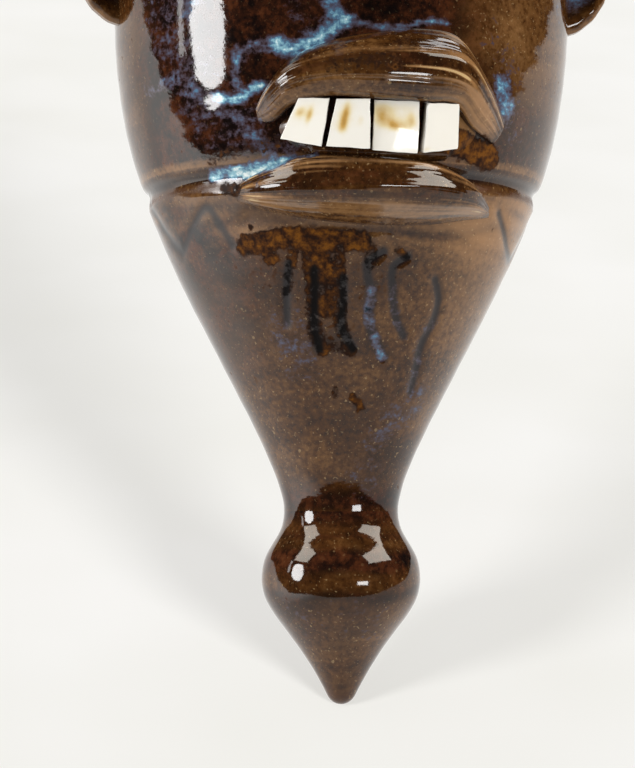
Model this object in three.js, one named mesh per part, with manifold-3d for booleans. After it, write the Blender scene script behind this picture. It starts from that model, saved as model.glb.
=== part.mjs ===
// A face wall pocket in glazed stoneware: a thrown cone with a bulb below and a flat slab behind,
// carrying an applied face whose open mouth shows four glazed tile teeth.
// Millimetres, +Z up. The back lies in the plane y = 0, the face looks along -Y and the hanging
// hole is at the origin.
import * as THREE from "three";
import { mergeVertices } from "three/addons/utils/BufferGeometryUtils.js";
import Module from "manifold-3d";

const wasm = await Module();
wasm.setup();

// The thrown form, from the tip upwards: each stretch's length and the radius where it ends
const TIP_LENGTH = 3.1;
const TIP_RADIUS = 4.2;
const TAPER_LENGTH = 32;
const BULB_RADIUS = 22.2;
const NECKING_LENGTH = 18.9;
const WAIST_RADIUS = 16;
const CONE_LENGTH = 84;
const CHIN_RADIUS = 54.1;
const RING_WIDTH = 6;
const RING_STEP = 1.8;
const RING_DEPTH = 2.2;
const CHEEK_LENGTH = 51;
const BELLY_RADIUS = 64;
const SHOULDER_LENGTH = 66;
const NECK_RADIUS = 52.5;
const RIM_LENGTH = 15;
const RIM_ROLL = 4;

// Steepness of the wall, as radius gained per height, where the curves meet
const TIP_FLARE = 0.5;
const CHIN_FLARE = 0.4;
const CHEEK_FLARE = 0.36;

// The hollow, the slab behind and the joints
const WALL = 5.5;
const STEM_LENGTH = 24;
const CUP_ROUND = 5;
const BACK_DISTANCE = 26;
const BACK_THICKNESS = 6;
const HOLE_DIAMETER = 9;
const HOLE_BELOW_RIM = 24;
const SEAM = 0.3;

// The face, measured along the wall from the middle of the mouth
const MOUTH_ABOVE_CHIN = 15;
const NOSE_ABOVE_MOUTH = 34;
const EYE_ABOVE_MOUTH = 63;
const EYE_SPACING = 45;
const EAR_ABOVE_MOUTH = 55;
const EAR_ANGLE = 82;
const BROW_ABOVE_EYE = 15;

// The mouth: the gum that backs it, the tiles set on the gum and the two lips
const MOUTH_WIDTH = 80;
const MOUTH_HEIGHT = 50;
const GUM_WIDTH = 62;
const GUM_HEIGHT = 19;
const GUM_OFFSET = 3;
const GUM_THICKNESS = 1.8;
const TILE_THICKNESS = 3;
const TILE_CORNER = 0.5;
const TILE_TUCK = 0.8;
const UPPER_LIP_RISE = 9;
const UPPER_LIP_OVERHANG = 4.5;
const LOWER_LIP_RISE = 9;

// The upper face
const NOSE_LENGTH = 36;
const NOSE_WIDTH = 27;
const NOSE_RISE = 21;
const NOSTRIL_RADIUS = 2.6;
const NOSTRIL_DEPTH = 6;
const NOSTRIL_SPACING = 11;
const EYE_RADIUS = 10;
const EYE_STANDOFF = 1.5;
const PUPIL_RADIUS = 2;
const PUPIL_DEPTH = 3;
const LID_RADIUS = 3.2;
const LID_SPAN = 156;
const BROW_LENGTH = 38;
const BROW_HEIGHT = 9;
const BROW_RISE = 6;
const BROW_ARCH = 4;
const EAR_HEIGHT = 44;
const EAR_REACH = 16.5;
const EAR_THICKNESS = 8;
const EAR_BEVEL = 2;
const EAR_RIM = 3.6;
const EAR_SCOOP = 4.5;

// How finely the round forms are divided
const TURNS = 44;
const FINIAL_TURNS = 28;
const ROLL_RINGS = 16;
const ROLL_SIDES = 10;
const LID_RINGS = 12;
const BROW_RINGS = 12;
const SUNK = 1.5;

const bulbZ = TIP_LENGTH + TAPER_LENGTH;
const waistZ = bulbZ + NECKING_LENGTH;
const chinZ = waistZ + CONE_LENGTH;
const cheekZ = chinZ + RING_WIDTH;
const bellyZ = cheekZ + CHEEK_LENGTH;
const neckZ = bellyZ + SHOULDER_LENGTH;
const rimZ = neckZ + RIM_LENGTH;
const holeZ = rimZ - HOLE_BELOW_RIM;
const mouthZ = chinZ + MOUTH_ABOVE_CHIN;
const eyeZ = mouthZ + EYE_ABOVE_MOUTH;
const slabFront = BACK_DISTANCE - BACK_THICKNESS;
const rollAxis = NECK_RADIUS - WALL + RIM_ROLL;
const rollZ = rimZ - RIM_ROLL;

// A stretch of the profile between two [radius, height] ends, leaving and arriving at a given
// flare; the reaches say how far each end's direction carries, as shares of the height
function stretch(from, flareOut, reachOut, to, flareIn, reachIn, steps) {
  const rise = to[1] - from[1];
  const curve = new THREE.CubicBezierCurve(
    new THREE.Vector2(...from),
    new THREE.Vector2(from[0] + flareOut * reachOut * rise, from[1] + reachOut * rise),
    new THREE.Vector2(to[0] - flareIn * reachIn * rise, to[1] - reachIn * rise),
    new THREE.Vector2(...to),
  );
  return curve.getPoints(steps);
}

// Points on the rolled rim's round between two angles in degrees
function rollArc(start, end, steps) {
  return Array.from({ length: steps + 1 }, (_, i) => {
    const angle = THREE.MathUtils.degToRad(start + ((end - start) * i) / steps);
    return new THREE.Vector2(
      rollAxis + RIM_ROLL * Math.cos(angle),
      rollZ + RIM_ROLL * Math.sin(angle),
    );
  });
}

function finialProfile() {
  const point = new THREE.QuadraticBezierCurve(
    new THREE.Vector2(0, 0),
    new THREE.Vector2(TIP_RADIUS - TIP_FLARE * TIP_LENGTH, 0),
    new THREE.Vector2(TIP_RADIUS, TIP_LENGTH),
  );
  return [
    ...point.getPoints(3),
    ...stretch([TIP_RADIUS, TIP_LENGTH], TIP_FLARE, 0.58, [BULB_RADIUS, bulbZ], 0, 0.31, 9).slice(1),
    ...stretch([BULB_RADIUS, bulbZ], 0, 0.51, [WAIST_RADIUS, waistZ], 0, 0.45, 7).slice(1),
  ];
}

function potProfile() {
  const cheekRadius = CHIN_RADIUS + RING_STEP;
  const ring = new THREE.QuadraticBezierCurve(
    new THREE.Vector2(CHIN_RADIUS, chinZ),
    new THREE.Vector2(CHIN_RADIUS + RING_STEP - RING_DEPTH, chinZ + 0.7 * RING_WIDTH),
    new THREE.Vector2(cheekRadius, cheekZ),
  );
  return [
    ...stretch([WAIST_RADIUS, waistZ], 0, 0.16, [CHIN_RADIUS, chinZ], CHIN_FLARE, 0.41, 11),
    ...ring.getPoints(5).slice(1),
    ...stretch([cheekRadius, cheekZ], CHEEK_FLARE, 0.41, [BELLY_RADIUS, bellyZ], 0, 0.2, 6).slice(1),
    ...stretch([BELLY_RADIUS, bellyZ], 0, 0.35, [NECK_RADIUS, neckZ], 0, 0.3, 8).slice(1),
    ...rollArc(-55, 90, 6),
  ];
}

const outside = potProfile();

// The wall's outer radius at a height, read off the profile
function wallRadius(height) {
  const next = outside.findIndex((p) => p.y > height);
  if (next < 1) return next === 0 ? outside[0].x : outside[outside.length - 1].x;
  const [low, high] = [outside[next - 1], outside[next]];
  return low.x + ((high.x - low.x) * (height - low.y)) / (high.y - low.y);
}

// A place on the wall: a distance round it from the face's middle, a height, and how far out
function onWall(around, height, out) {
  const radius = wallRadius(height);
  const angle = around / radius;
  return new THREE.Vector3(
    (radius + out) * Math.sin(angle),
    -(radius + out) * Math.cos(angle),
    height,
  );
}

// Right, up and outward directions at a place on the wall
function wallFrame(around, height) {
  const here = onWall(around, height, 0);
  const right = onWall(around + 0.5, height, 0).sub(onWall(around - 0.5, height, 0)).normalize();
  const climb = onWall(around, height + 4, 0).sub(onWall(around, height - 4, 0)).normalize();
  const outward = right.clone().cross(climb).normalize();
  const up = outward.clone().cross(right);
  return new THREE.Matrix4().makeBasis(right, up, outward).setPosition(here);
}

// Solids
function solidOf(geometry) {
  const bare = geometry.clone();
  bare.deleteAttribute("normal");
  bare.deleteAttribute("uv");
  const merged = mergeVertices(bare, 1e-4);
  return new wasm.Manifold(
    new wasm.Mesh({
      numProp: 3,
      vertProperties: merged.attributes.position.array,
      triVerts: new Uint32Array(merged.index.array),
    }),
  );
}

function geometryOf(solid) {
  const { vertProperties, triVerts, numProp } = solid.getMesh();
  const geometry = new THREE.BufferGeometry();
  const points = new THREE.InterleavedBuffer(vertProperties, numProp);
  geometry.setAttribute("position", new THREE.InterleavedBufferAttribute(points, 3, 0));
  geometry.setIndex(new THREE.BufferAttribute(triVerts, 1));
  const flat = geometry.toNonIndexed();
  flat.computeVertexNormals();
  return flat;
}

// A profile that starts and ends on the axis, turned about +Z
function turned(profile, turns = TURNS) {
  return solidOf(new THREE.LatheGeometry(profile, turns).rotateX(Math.PI / 2));
}

// A box between two corners
function block(low, high) {
  const size = high.map((v, i) => v - low[i]);
  const middle = high.map((v, i) => (v + low[i]) / 2);
  return solidOf(new THREE.BoxGeometry(...size).translate(...middle));
}

// A closed skin over rings of equally many points, with a fan over the first and last ring
function skinned(rings) {
  const sides = rings[0].length;
  const points = rings.flat();
  const faces = [];
  for (let r = 0; r + 1 < rings.length; r++) {
    for (let s = 0; s < sides; s++) {
      const a = r * sides + s;
      const b = r * sides + ((s + 1) % sides);
      faces.push(a, b, b + sides, a, b + sides, a + sides);
    }
  }
  const last = (rings.length - 1) * sides;
  for (let s = 1; s + 1 < sides; s++) {
    faces.push(0, s + 1, s, last, last + s, last + s + 1);
  }
  let volume = 0;
  for (let f = 0; f < faces.length; f += 3) {
    const [p, q, r] = [0, 1, 2].map((k) => points[faces[f + k]]);
    volume += p.dot(q.clone().cross(r));
  }
  if (volume < 0) faces.reverse();
  return solidOf(new THREE.BufferGeometry().setFromPoints(points).setIndex(faces));
}

const spline = (points) => new THREE.SplineCurve(points.map((p) => new THREE.Vector2(...p)));

// A roll of clay laid on the wall. Three guides of [around, up] points, measured from a place on
// the wall, give one edge, the crest and the other edge; the rises give how far the crest and the
// second edge stand out at each guide point.
function roll(origin, edgeA, crest, edgeB, crestRise, edgeRise, rings = ROLL_RINGS) {
  const curves = [edgeA, crest, edgeB].map(spline);
  const rises = [crestRise, edgeRise].map((list) => spline(list.map((rise, i) => [i, rise])));
  const made = [];
  for (let r = 0; r <= rings; r++) {
    const t = r / rings;
    const [a, c, b] = curves.map((curve) => curve.getPoint(t));
    const [top, side] = rises.map((curve) => curve.getPoint(t).y);
    const ring = [];
    const half = ROLL_SIDES / 2;
    for (let s = 0; s <= ROLL_SIDES; s++) {
      const turn = (Math.abs(s - half) / half) * (Math.PI / 2);
      const edge = s < half ? a : b;
      const low = s < half ? -SUNK : side;
      const place = edge.clone().lerp(c, 1 - Math.sin(turn));
      const out = low + (top - low) * Math.cos(turn);
      ring.push(onWall(origin[0] + place.x, origin[1] + place.y, out));
    }
    ring.push(onWall(origin[0] + b.x, origin[1] + b.y, -2 * SUNK));
    ring.push(onWall(origin[0] + a.x, origin[1] + a.y, -2 * SUNK));
    made.push(ring);
  }
  return skinned(made);
}

// The full thrown form with a flat top, grown outwards by a clearance
function vessel(grow) {
  const sides = outside.map((p) => new THREE.Vector2(p.x + grow, p.y));
  const [foot, top] = [outside[0].y - grow, rimZ + grow];
  return turned([new THREE.Vector2(0, foot), ...sides, new THREE.Vector2(0, top)]);
}

// The room inside: the wall's thickness in from the outside, a cupped floor and a rounded mouth
function hollow() {
  const floorZ = waistZ + STEM_LENGTH;
  const inside = outside.filter((p) => p.y > floorZ + CUP_ROUND && p.y < rollZ - RIM_ROLL);
  const cupRadius = wallRadius(floorZ + CUP_ROUND) - WALL;
  const cup = new THREE.QuadraticBezierCurve(
    new THREE.Vector2(0, floorZ),
    new THREE.Vector2(cupRadius, floorZ),
    new THREE.Vector2(cupRadius, floorZ + CUP_ROUND),
  );
  const mouth = rollArc(180, 95, 4);
  const lip = mouth[mouth.length - 1];
  return turned([
    ...cup.getPoints(4),
    ...inside.filter((_, i) => i % 2 === 1).map((p) => new THREE.Vector2(p.x - WALL, p.y)),
    ...mouth,
    new THREE.Vector2(lip.x, rimZ + 1),
    new THREE.Vector2(0, rimZ + 1),
  ]);
}

const pot = vessel(0);
const potWithSeam = vessel(SEAM);
const reach = BELLY_RADIUS + EAR_REACH + NOSE_RISE;

function frontShell() {
  const front = block([-reach, -reach, waistZ + SEAM / 2], [reach, slabFront - SEAM, rimZ + 1]);
  return pot.subtract(hollow()).intersect(front);
}

function backPlate() {
  const slab = block([-reach, slabFront, waistZ], [reach, BACK_DISTANCE, rimZ]);
  const hole = new THREE.CylinderGeometry(
    HOLE_DIAMETER / 2,
    HOLE_DIAMETER / 2,
    3 * BACK_THICKNESS,
    32,
  ).translate(0, BACK_DISTANCE, 0);
  return pot.intersect(slab).subtract(solidOf(hole.translate(0, 0, holeZ)));
}

function finial() {
  const profile = finialProfile();
  const joint = waistZ - SEAM / 2;
  const whole = turned([...profile, new THREE.Vector2(0, waistZ)], FINIAL_TURNS);
  return whole.intersect(block([-reach, -reach, -1], [reach, reach, joint]));
}

// The gum: a thin pad on the wall behind the teeth, with an outline of two meeting arcs
function gum(grow) {
  const half = GUM_WIDTH / 2 + grow;
  const rise = GUM_HEIGHT / 2 + grow;
  const stations = [-1, -0.85, -0.5, 0, 0.5, 0.85, 1];
  const bend = (share) => 0.35 + 0.65 * Math.sqrt(1 - share * share);
  const edge = (sign) => stations.map((s) => [GUM_OFFSET + s * half, sign * rise * bend(s)]);
  const level = stations.map(() => GUM_THICKNESS + grow);
  return roll([0, mouthZ], edge(1), edge(0), edge(-1), level, stations.map(() => -SUNK));
}

// Places about the middle of the mouth, given as shares of half its width and half its height
const mouthPlaces = (shares) =>
  shares.map(([x, y]) => [(x * MOUTH_WIDTH) / 2, (y * MOUTH_HEIGHT) / 2]);

// Each tile's corners, clockwise from the top left
const TILES = [
  [[-0.445, 0.292], [-0.2475, 0.28], [-0.31, -0.176], [-0.5725, -0.088]],
  [[-0.23, 0.276], [-0.015, 0.28], [-0.0125, -0.196], [-0.2925, -0.172]],
  [[-0.01, 0.236], [0.285, 0.244], [0.285, -0.228], [-0.0075, -0.212]],
  [[0.3075, 0.244], [0.525, 0.264], [0.55, -0.156], [0.3075, -0.22]],
].map(mouthPlaces);

// A flat tile with eased corners, standing square to the wall at its own middle
function tile(corners, grow) {
  const middle = corners.reduce((sum, [x, y]) => [sum[0] + x / 4, sum[1] + y / 4], [0, 0]);
  const outline = corners.map(([x, y]) => {
    const tucked = y > 0 ? y + TILE_TUCK : y;
    const [dx, dy] = [x - middle[0], tucked - middle[1]];
    return [dx + Math.sign(dx) * grow, dy + Math.sign(dy) * grow];
  });
  const shape = new THREE.Shape();
  outline.forEach((corner, i) => {
    const here = new THREE.Vector2(...corner);
    const before = new THREE.Vector2(...outline[(i + 3) % 4]).sub(here).setLength(TILE_CORNER);
    const after = new THREE.Vector2(...outline[(i + 1) % 4]).sub(here).setLength(TILE_CORNER);
    const [start, end] = [here.clone().add(before), here.clone().add(after)];
    if (i === 0) shape.moveTo(start.x, start.y);
    else shape.lineTo(start.x, start.y);
    shape.quadraticCurveTo(here.x, here.y, end.x, end.y);
  });
  const slab = new THREE.ExtrudeGeometry(shape, {
    depth: TILE_THICKNESS + grow,
    bevelEnabled: false,
    curveSegments: 3,
  });
  const width = Math.max(...outline.map(([x]) => Math.abs(x)));
  const sag = (width * width) / (2 * wallRadius(mouthZ));
  const seat = GUM_THICKNESS + SEAM + sag - grow;
  return solidOf(
    slab.translate(0, 0, seat).applyMatrix4(wallFrame(middle[0], mouthZ + middle[1])),
  );
}

function upperLip() {
  const top = mouthPlaces([
    [-0.7625, 0.22], [-0.6825, 0.448], [-0.525, 0.716], [-0.3, 0.864], [0, 0.96],
    [0.3, 1.016], [0.5875, 0.96], [0.8, 0.62], [1.0125, 0.18],
  ]);
  const crest = mouthPlaces([
    [-0.7375, 0.152], [-0.6375, 0.28], [-0.5, 0.412], [-0.3, 0.476], [0, 0.496],
    [0.3, 0.496], [0.5375, 0.44], [0.725, 0.24], [0.95, 0.02],
  ]);
  const under = mouthPlaces([
    [-0.7375, 0.088], [-0.625, 0.072], [-0.4875, 0.212], [-0.2625, 0.284], [0, 0.264],
    [0.3, 0.244], [0.5125, 0.244], [0.675, 0.04], [0.9, -0.08],
  ]);
  const swell = [0.14, 0.5, 0.85, 0.97, 1, 1, 0.9, 0.6, 0.14];
  return roll(
    [0, mouthZ],
    top,
    crest,
    under,
    swell.map((s) => s * UPPER_LIP_RISE),
    swell.map((s) => s * UPPER_LIP_OVERHANG),
  );
}

function lowerLip() {
  const top = mouthPlaces([
    [-0.9, -0.54], [-0.675, -0.384], [-0.375, -0.256], [0.05, -0.272],
    [0.4, -0.316], [0.7, -0.464], [0.925, -0.7],
  ]);
  const crest = mouthPlaces([
    [-0.875, -0.62], [-0.65, -0.64], [-0.325, -0.656], [0.05, -0.664],
    [0.4, -0.664], [0.675, -0.688], [0.9125, -0.76],
  ]);
  const under = mouthPlaces([
    [-0.8875, -0.7], [-0.65, -0.82], [-0.325, -0.92], [0.05, -0.968],
    [0.4, -0.952], [0.7, -0.88], [0.95, -0.82],
  ]);
  const swell = [0.12, 0.6, 0.94, 1, 0.94, 0.62, 0.12];
  return roll(
    [0, mouthZ],
    top,
    crest,
    under,
    swell.map((s) => s * LOWER_LIP_RISE),
    swell.map(() => -SUNK),
  );
}

function nose() {
  const noseZ = mouthZ + NOSE_ABOVE_MOUTH;
  const heights = [1, 0.82, 0.55, 0.28, 0.1, 0].map((share) => share * NOSE_LENGTH);
  const widths = [0.3, 0.38, 0.5, 0.8, 1, 0.8].map((share) => (share * NOSE_WIDTH) / 2);
  const rises = [0.18, 0.4, 0.66, 0.94, 1, 0.62].map((share) => share * NOSE_RISE);
  const line = (sign) => heights.map((up, i) => [sign * widths[i], up]);
  const wedge = roll([0, noseZ], line(-1), line(0), line(1), rises, rises.map(() => -SUNK));
  return [-1, 1].reduce((left, side) => {
    const bore = new THREE.CylinderGeometry(NOSTRIL_RADIUS, NOSTRIL_RADIUS, 2 * NOSTRIL_DEPTH, 12);
    const out = wallRadius(noseZ) + NOSE_RISE / 2;
    const place = bore.rotateX(Math.PI / 2).translate((side * NOSTRIL_SPACING) / 2, -out, noseZ);
    return left.subtract(solidOf(place));
  }, wedge);
}

const eyePlace = (side) => [(side * EYE_SPACING) / 2, eyeZ];

function eyeSphere(side, grow, turns = 24) {
  const ball = new THREE.SphereGeometry(EYE_RADIUS + grow, turns, turns / 2).rotateX(Math.PI / 2);
  return ball.translate(0, 0, EYE_STANDOFF).applyMatrix4(wallFrame(...eyePlace(side)));
}

function eyeball(side) {
  const front = EYE_STANDOFF + EYE_RADIUS;
  const drill = new THREE.CylinderGeometry(PUPIL_RADIUS, PUPIL_RADIUS, 2 * PUPIL_DEPTH, 16)
    .rotateX(Math.PI / 2)
    .translate(0, 0, front)
    .applyMatrix4(wallFrame(...eyePlace(side)));
  return solidOf(eyeSphere(side, 0)).subtract(solidOf(drill));
}

// A lid: a tapering roll along an arc round the eyeball, about a middle angle in degrees
function eyelid(side, middle) {
  const frame = wallFrame(...eyePlace(side));
  const path = EYE_RADIUS - 0.2 * LID_RADIUS;
  const rings = Array.from({ length: LID_RINGS + 1 }, (_, i) => {
    const share = i / LID_RINGS;
    const angle = THREE.MathUtils.degToRad(middle + LID_SPAN * (share - 0.5));
    const thick = LID_RADIUS * (0.45 + 0.55 * Math.sin(Math.PI * share));
    return Array.from({ length: ROLL_SIDES }, (_, k) => {
      const turn = (2 * Math.PI * k) / ROLL_SIDES;
      const away = path + thick * Math.cos(turn);
      const out = 2 * EYE_STANDOFF + thick * 1.4 * Math.sin(turn);
      return new THREE.Vector3(away * Math.cos(angle), away * Math.sin(angle), out).applyMatrix4(frame);
    });
  });
  return skinned(rings).subtract(solidOf(eyeSphere(side, SEAM)));
}

function brow(side) {
  const half = BROW_LENGTH / 2;
  const tall = BROW_HEIGHT / 2;
  const arch = [-1, -0.6, 0, 0.6, 1].map((s) => [side * s * half, BROW_ARCH * (1 - s * s)]);
  const shifted = (up, shares) => arch.map(([x, y], i) => [x, y + up * shares[i]]);
  const plump = [0.5, 0.9, 1, 0.8, 0.4];
  const origin = [(side * EYE_SPACING) / 2, eyeZ + BROW_ABOVE_EYE];
  return roll(
    origin,
    shifted(tall, plump),
    arch,
    shifted(-tall, plump),
    plump.map((s) => s * BROW_RISE),
    plump.map(() => -SUNK),
    BROW_RINGS,
  );
}

// An ear: a leaf of clay set on edge against the wall and scooped from the front
function ear(side) {
  const earZ = mouthZ + EAR_ABOVE_MOUTH;
  const half = EAR_HEIGHT / 2;
  const leaf = new THREE.Shape();
  leaf.moveTo(-EAR_THICKNESS, -0.8 * half);
  leaf.bezierCurveTo(0, -half, 0.62 * EAR_REACH, -0.86 * half, 0.82 * EAR_REACH, -0.35 * half);
  leaf.bezierCurveTo(1.1 * EAR_REACH, 0.15 * half, EAR_REACH, half, 0.2 * EAR_REACH, half);
  leaf.lineTo(-EAR_THICKNESS, 0.9 * half);
  const body = new THREE.ExtrudeGeometry(leaf, {
    depth: EAR_THICKNESS - 2 * EAR_BEVEL,
    bevelThickness: EAR_BEVEL,
    bevelSize: EAR_BEVEL,
    bevelOffset: -EAR_BEVEL,
    bevelSegments: 2,
    curveSegments: 8,
  }).translate(0, 0, -EAR_THICKNESS / 2 + EAR_BEVEL);
  const bowl = new THREE.SphereGeometry(1, 20, 12)
    .scale(EAR_REACH - EAR_RIM, 0.7 * half, EAR_SCOOP)
    .translate(0, 1, EAR_THICKNESS / 2);
  // Local x points out from the wall, y up and z to the front of the face
  const angle = THREE.MathUtils.degToRad(EAR_ANGLE);
  const out = new THREE.Vector3(Math.sin(angle), -Math.cos(angle), 0);
  const up = new THREE.Vector3(0, 0, 1);
  const place = new THREE.Matrix4()
    .makeBasis(out, up, out.clone().cross(up))
    .setPosition(out.clone().multiplyScalar(wallRadius(earZ)).setZ(earZ));
  const right = solidOf(body.applyMatrix4(place)).subtract(solidOf(bowl.applyMatrix4(place)));
  return side > 0 ? right : right.mirror([1, 0, 0]);
}

// The finishes
const glaze = (color) => new THREE.MeshStandardMaterial({ color, roughness: 0.15, metalness: 0 });
const tileWhite = new THREE.MeshStandardMaterial({ color: 0xe9e1cd, roughness: 0.2, metalness: 0 });
const slipWhite = new THREE.MeshStandardMaterial({ color: 0xd8cdb4, roughness: 0.25, metalness: 0 });

const object = new THREE.Group();
object.name = "face_wall_pocket";
object.position.set(0, -BACK_DISTANCE, -holeZ);

function add(name, solid, material) {
  const mesh = new THREE.Mesh(geometryOf(solid), material.clone());
  mesh.name = name;
  object.add(mesh);
}

// What is pressed onto the wall is cut back to the wall, so that it seats all over
const seated = (solid) => solid.subtract(potWithSeam);

add("front_shell", frontShell(), glaze(0x4a3122));
add("back_plate", backPlate(), glaze(0x4a3122));
add("finial", finial(), glaze(0x48301f));

const gumSeated = seated(gum(0));
const tileClearance = TILES.map((corners) => tile(corners, SEAM));
const lipSeated = (lip) =>
  tileClearance.reduce((left, cut) => left.subtract(cut), seated(lip).subtract(gum(SEAM)));
add("mouth_gum", gumSeated, glaze(0x3a2418));
TILES.forEach((corners, i) => add(`tooth_${i + 1}`, tile(corners, 0), tileWhite));
add("upper_lip", lipSeated(upperLip()), glaze(0x553a28));
add("lower_lip", lipSeated(lowerLip()), glaze(0x553a28));

add("nose", seated(nose()), glaze(0x4a3122));
for (const [word, side] of [["left", 1], ["right", -1]]) {
  add(`eyeball_${word}`, seated(eyeball(side)), slipWhite);
  add(`eyelid_upper_${word}`, seated(eyelid(side, 90)), glaze(0x4a3122));
  add(`eyelid_lower_${word}`, seated(eyelid(side, 270)), glaze(0x4a3122));
  add(`brow_${word}`, seated(brow(side)), glaze(0x4a3122));
  add(`ear_${word}`, seated(ear(side)), glaze(0x4a3122));
}

export default object;
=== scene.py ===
"""Looks for a face wall pocket in glazed stoneware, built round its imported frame.

A thrown cone with a bulb below and a slab behind carries an applied face whose open mouth shows
four glazed tile teeth. Lengths in the tables below are in millimetres along the wall or above the
tip; meshes are in metres.
"""

import math

import bmesh
import bpy
import numpy as np
from bpy.props import FloatProperty, FloatVectorProperty, PointerProperty
from mathutils import Matrix, Vector, noise


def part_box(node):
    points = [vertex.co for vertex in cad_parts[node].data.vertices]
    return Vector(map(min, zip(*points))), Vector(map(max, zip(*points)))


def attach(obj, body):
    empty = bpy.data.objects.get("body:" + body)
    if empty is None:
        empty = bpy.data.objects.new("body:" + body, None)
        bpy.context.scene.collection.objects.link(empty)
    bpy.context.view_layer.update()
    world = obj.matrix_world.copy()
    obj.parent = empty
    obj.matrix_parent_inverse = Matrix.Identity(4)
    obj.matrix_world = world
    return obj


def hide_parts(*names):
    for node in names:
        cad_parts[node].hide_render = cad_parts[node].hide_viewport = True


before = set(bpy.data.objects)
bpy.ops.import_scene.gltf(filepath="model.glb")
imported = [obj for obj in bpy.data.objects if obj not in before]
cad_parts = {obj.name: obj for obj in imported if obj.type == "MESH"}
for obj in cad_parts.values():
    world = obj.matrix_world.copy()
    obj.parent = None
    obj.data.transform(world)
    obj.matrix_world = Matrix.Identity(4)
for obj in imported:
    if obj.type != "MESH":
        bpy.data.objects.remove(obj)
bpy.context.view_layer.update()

bl_info = {
    "name": "Face Wall Pocket",
    "version": (1, 0, 0),
    "blender": (4, 5, 0),
    "location": "View3D > Sidebar > Pocket",
    "description": "Models and glazes a stoneware face wall pocket",
    "category": "Object",
}

MM = 0.001
BULB_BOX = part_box("finial")
SLAB_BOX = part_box("back_plate")
TIP_Z = BULB_BOX[0].z
AXIS_Y = (BULB_BOX[0].y + BULB_BOX[1].y) / 2
# Height of the middle of the mouth, and how far round from it the middles of the eyes lie
MOUTH = 153.0
EYES = 22.5
# Share of the way round a roll that shows; the rest lies inside the wall
SHOWN = 0.8
SIDES = (("left", 1), ("right", -1))
# Settings of a Map Range node whose steps are soft
SMOOTH = {"interpolation_type": "SMOOTHSTEP"}

# Heights of the pinched waist, the floor inside and the foot of the rolled rim
WAIST = 54.0
FLOOR = 78.0
RIM_FOOT = 268.7
ROLL_CENTRE = (51.0, 272.0)
ROLL_RADIUS = 4.0

# The thrown profile from the tip up. Each stretch has the (radius, height) where it starts and
# ends, the radius gained per height at both, and how far each end's direction carries.
STRETCHES = (
    ((4.2, 3.1), 0.5, 0.58, (22.2, 35.1), 0, 0.31),
    ((22.2, 35.1), 0, 0.51, (16, 54), 0, 0.45),
    ((16, 54), 0, 0.16, (54.1, 138), 0.4, 0.41),
    ((54.1, 138), -0.1, 0.47, (55.9, 144), 1.2, 0.2),
    ((55.9, 144), 0.36, 0.41, (64, 195), 0, 0.2),
    ((64, 195), 0, 0.35, (52.5, 261), 0, 0.3),
    ((52.5, 261), 0, 0.4, (53.3, RIM_FOOT), 0.5, 0.2),
)

# Lines drawn in the leather-hard clay as (around, height), with their depth and half width
WAVES = (
    (((-84, 140), (-76, 135.4), (-69.9, 130.5), (-62.2, 125.7), (-59.1, 125), (-53.7, 129),
      (-46.5, 134.7), (-41.3, 129.8), (-37.3, 124.6)), 0.22, 1.7),
    (((42.7, 134), (45.2, 131.7), (51.4, 126.2), (59.2, 123.6), (67, 129), (73, 134.5), (80, 137)),
     0.22, 1.7),
)
BEARD = (
    (((-20.2, 119.4), (-20.4, 111.9), (-19.8, 104.2)), 0.3, 1.5),
    (((-13.1, 117.5), (-12.5, 110.2), (-12.2, 103.3), (-10.4, 97.4)), 0.4, 1.7),
    (((-5.2, 115.4), (-4.8, 110.1), (-4.8, 103.3), (-1.4, 97.4)), 0.4, 1.7),
    (((5.1, 122.3), (1.3, 119.7), (1.2, 116.2), (2.6, 111.7), (2.3, 105.1), (4.7, 99.5), (7, 95.4)),
     0.45, 1.7),
    (((12.1, 121.3), (8.1, 118.6), (8.2, 113.6), (9.7, 106), (12.6, 101)), 0.4, 1.5),
    (((21, 115.6), (22.8, 110.9), (21.9, 105.2), (18.7, 99.1), (17.9, 93.3), (16.8, 86.7)), 0.35, 1.6),
)
CHIN_CREASE = (((-31.5, 131.7), (-15.6, 130.4), (-3.6, 129.1), (14.7, 127.3), (31.1, 128.3),
                (45.2, 131.7)), 0.16, 2.2)
THROWN_GROOVE = (142.3, 0.6, 1.9)

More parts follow.
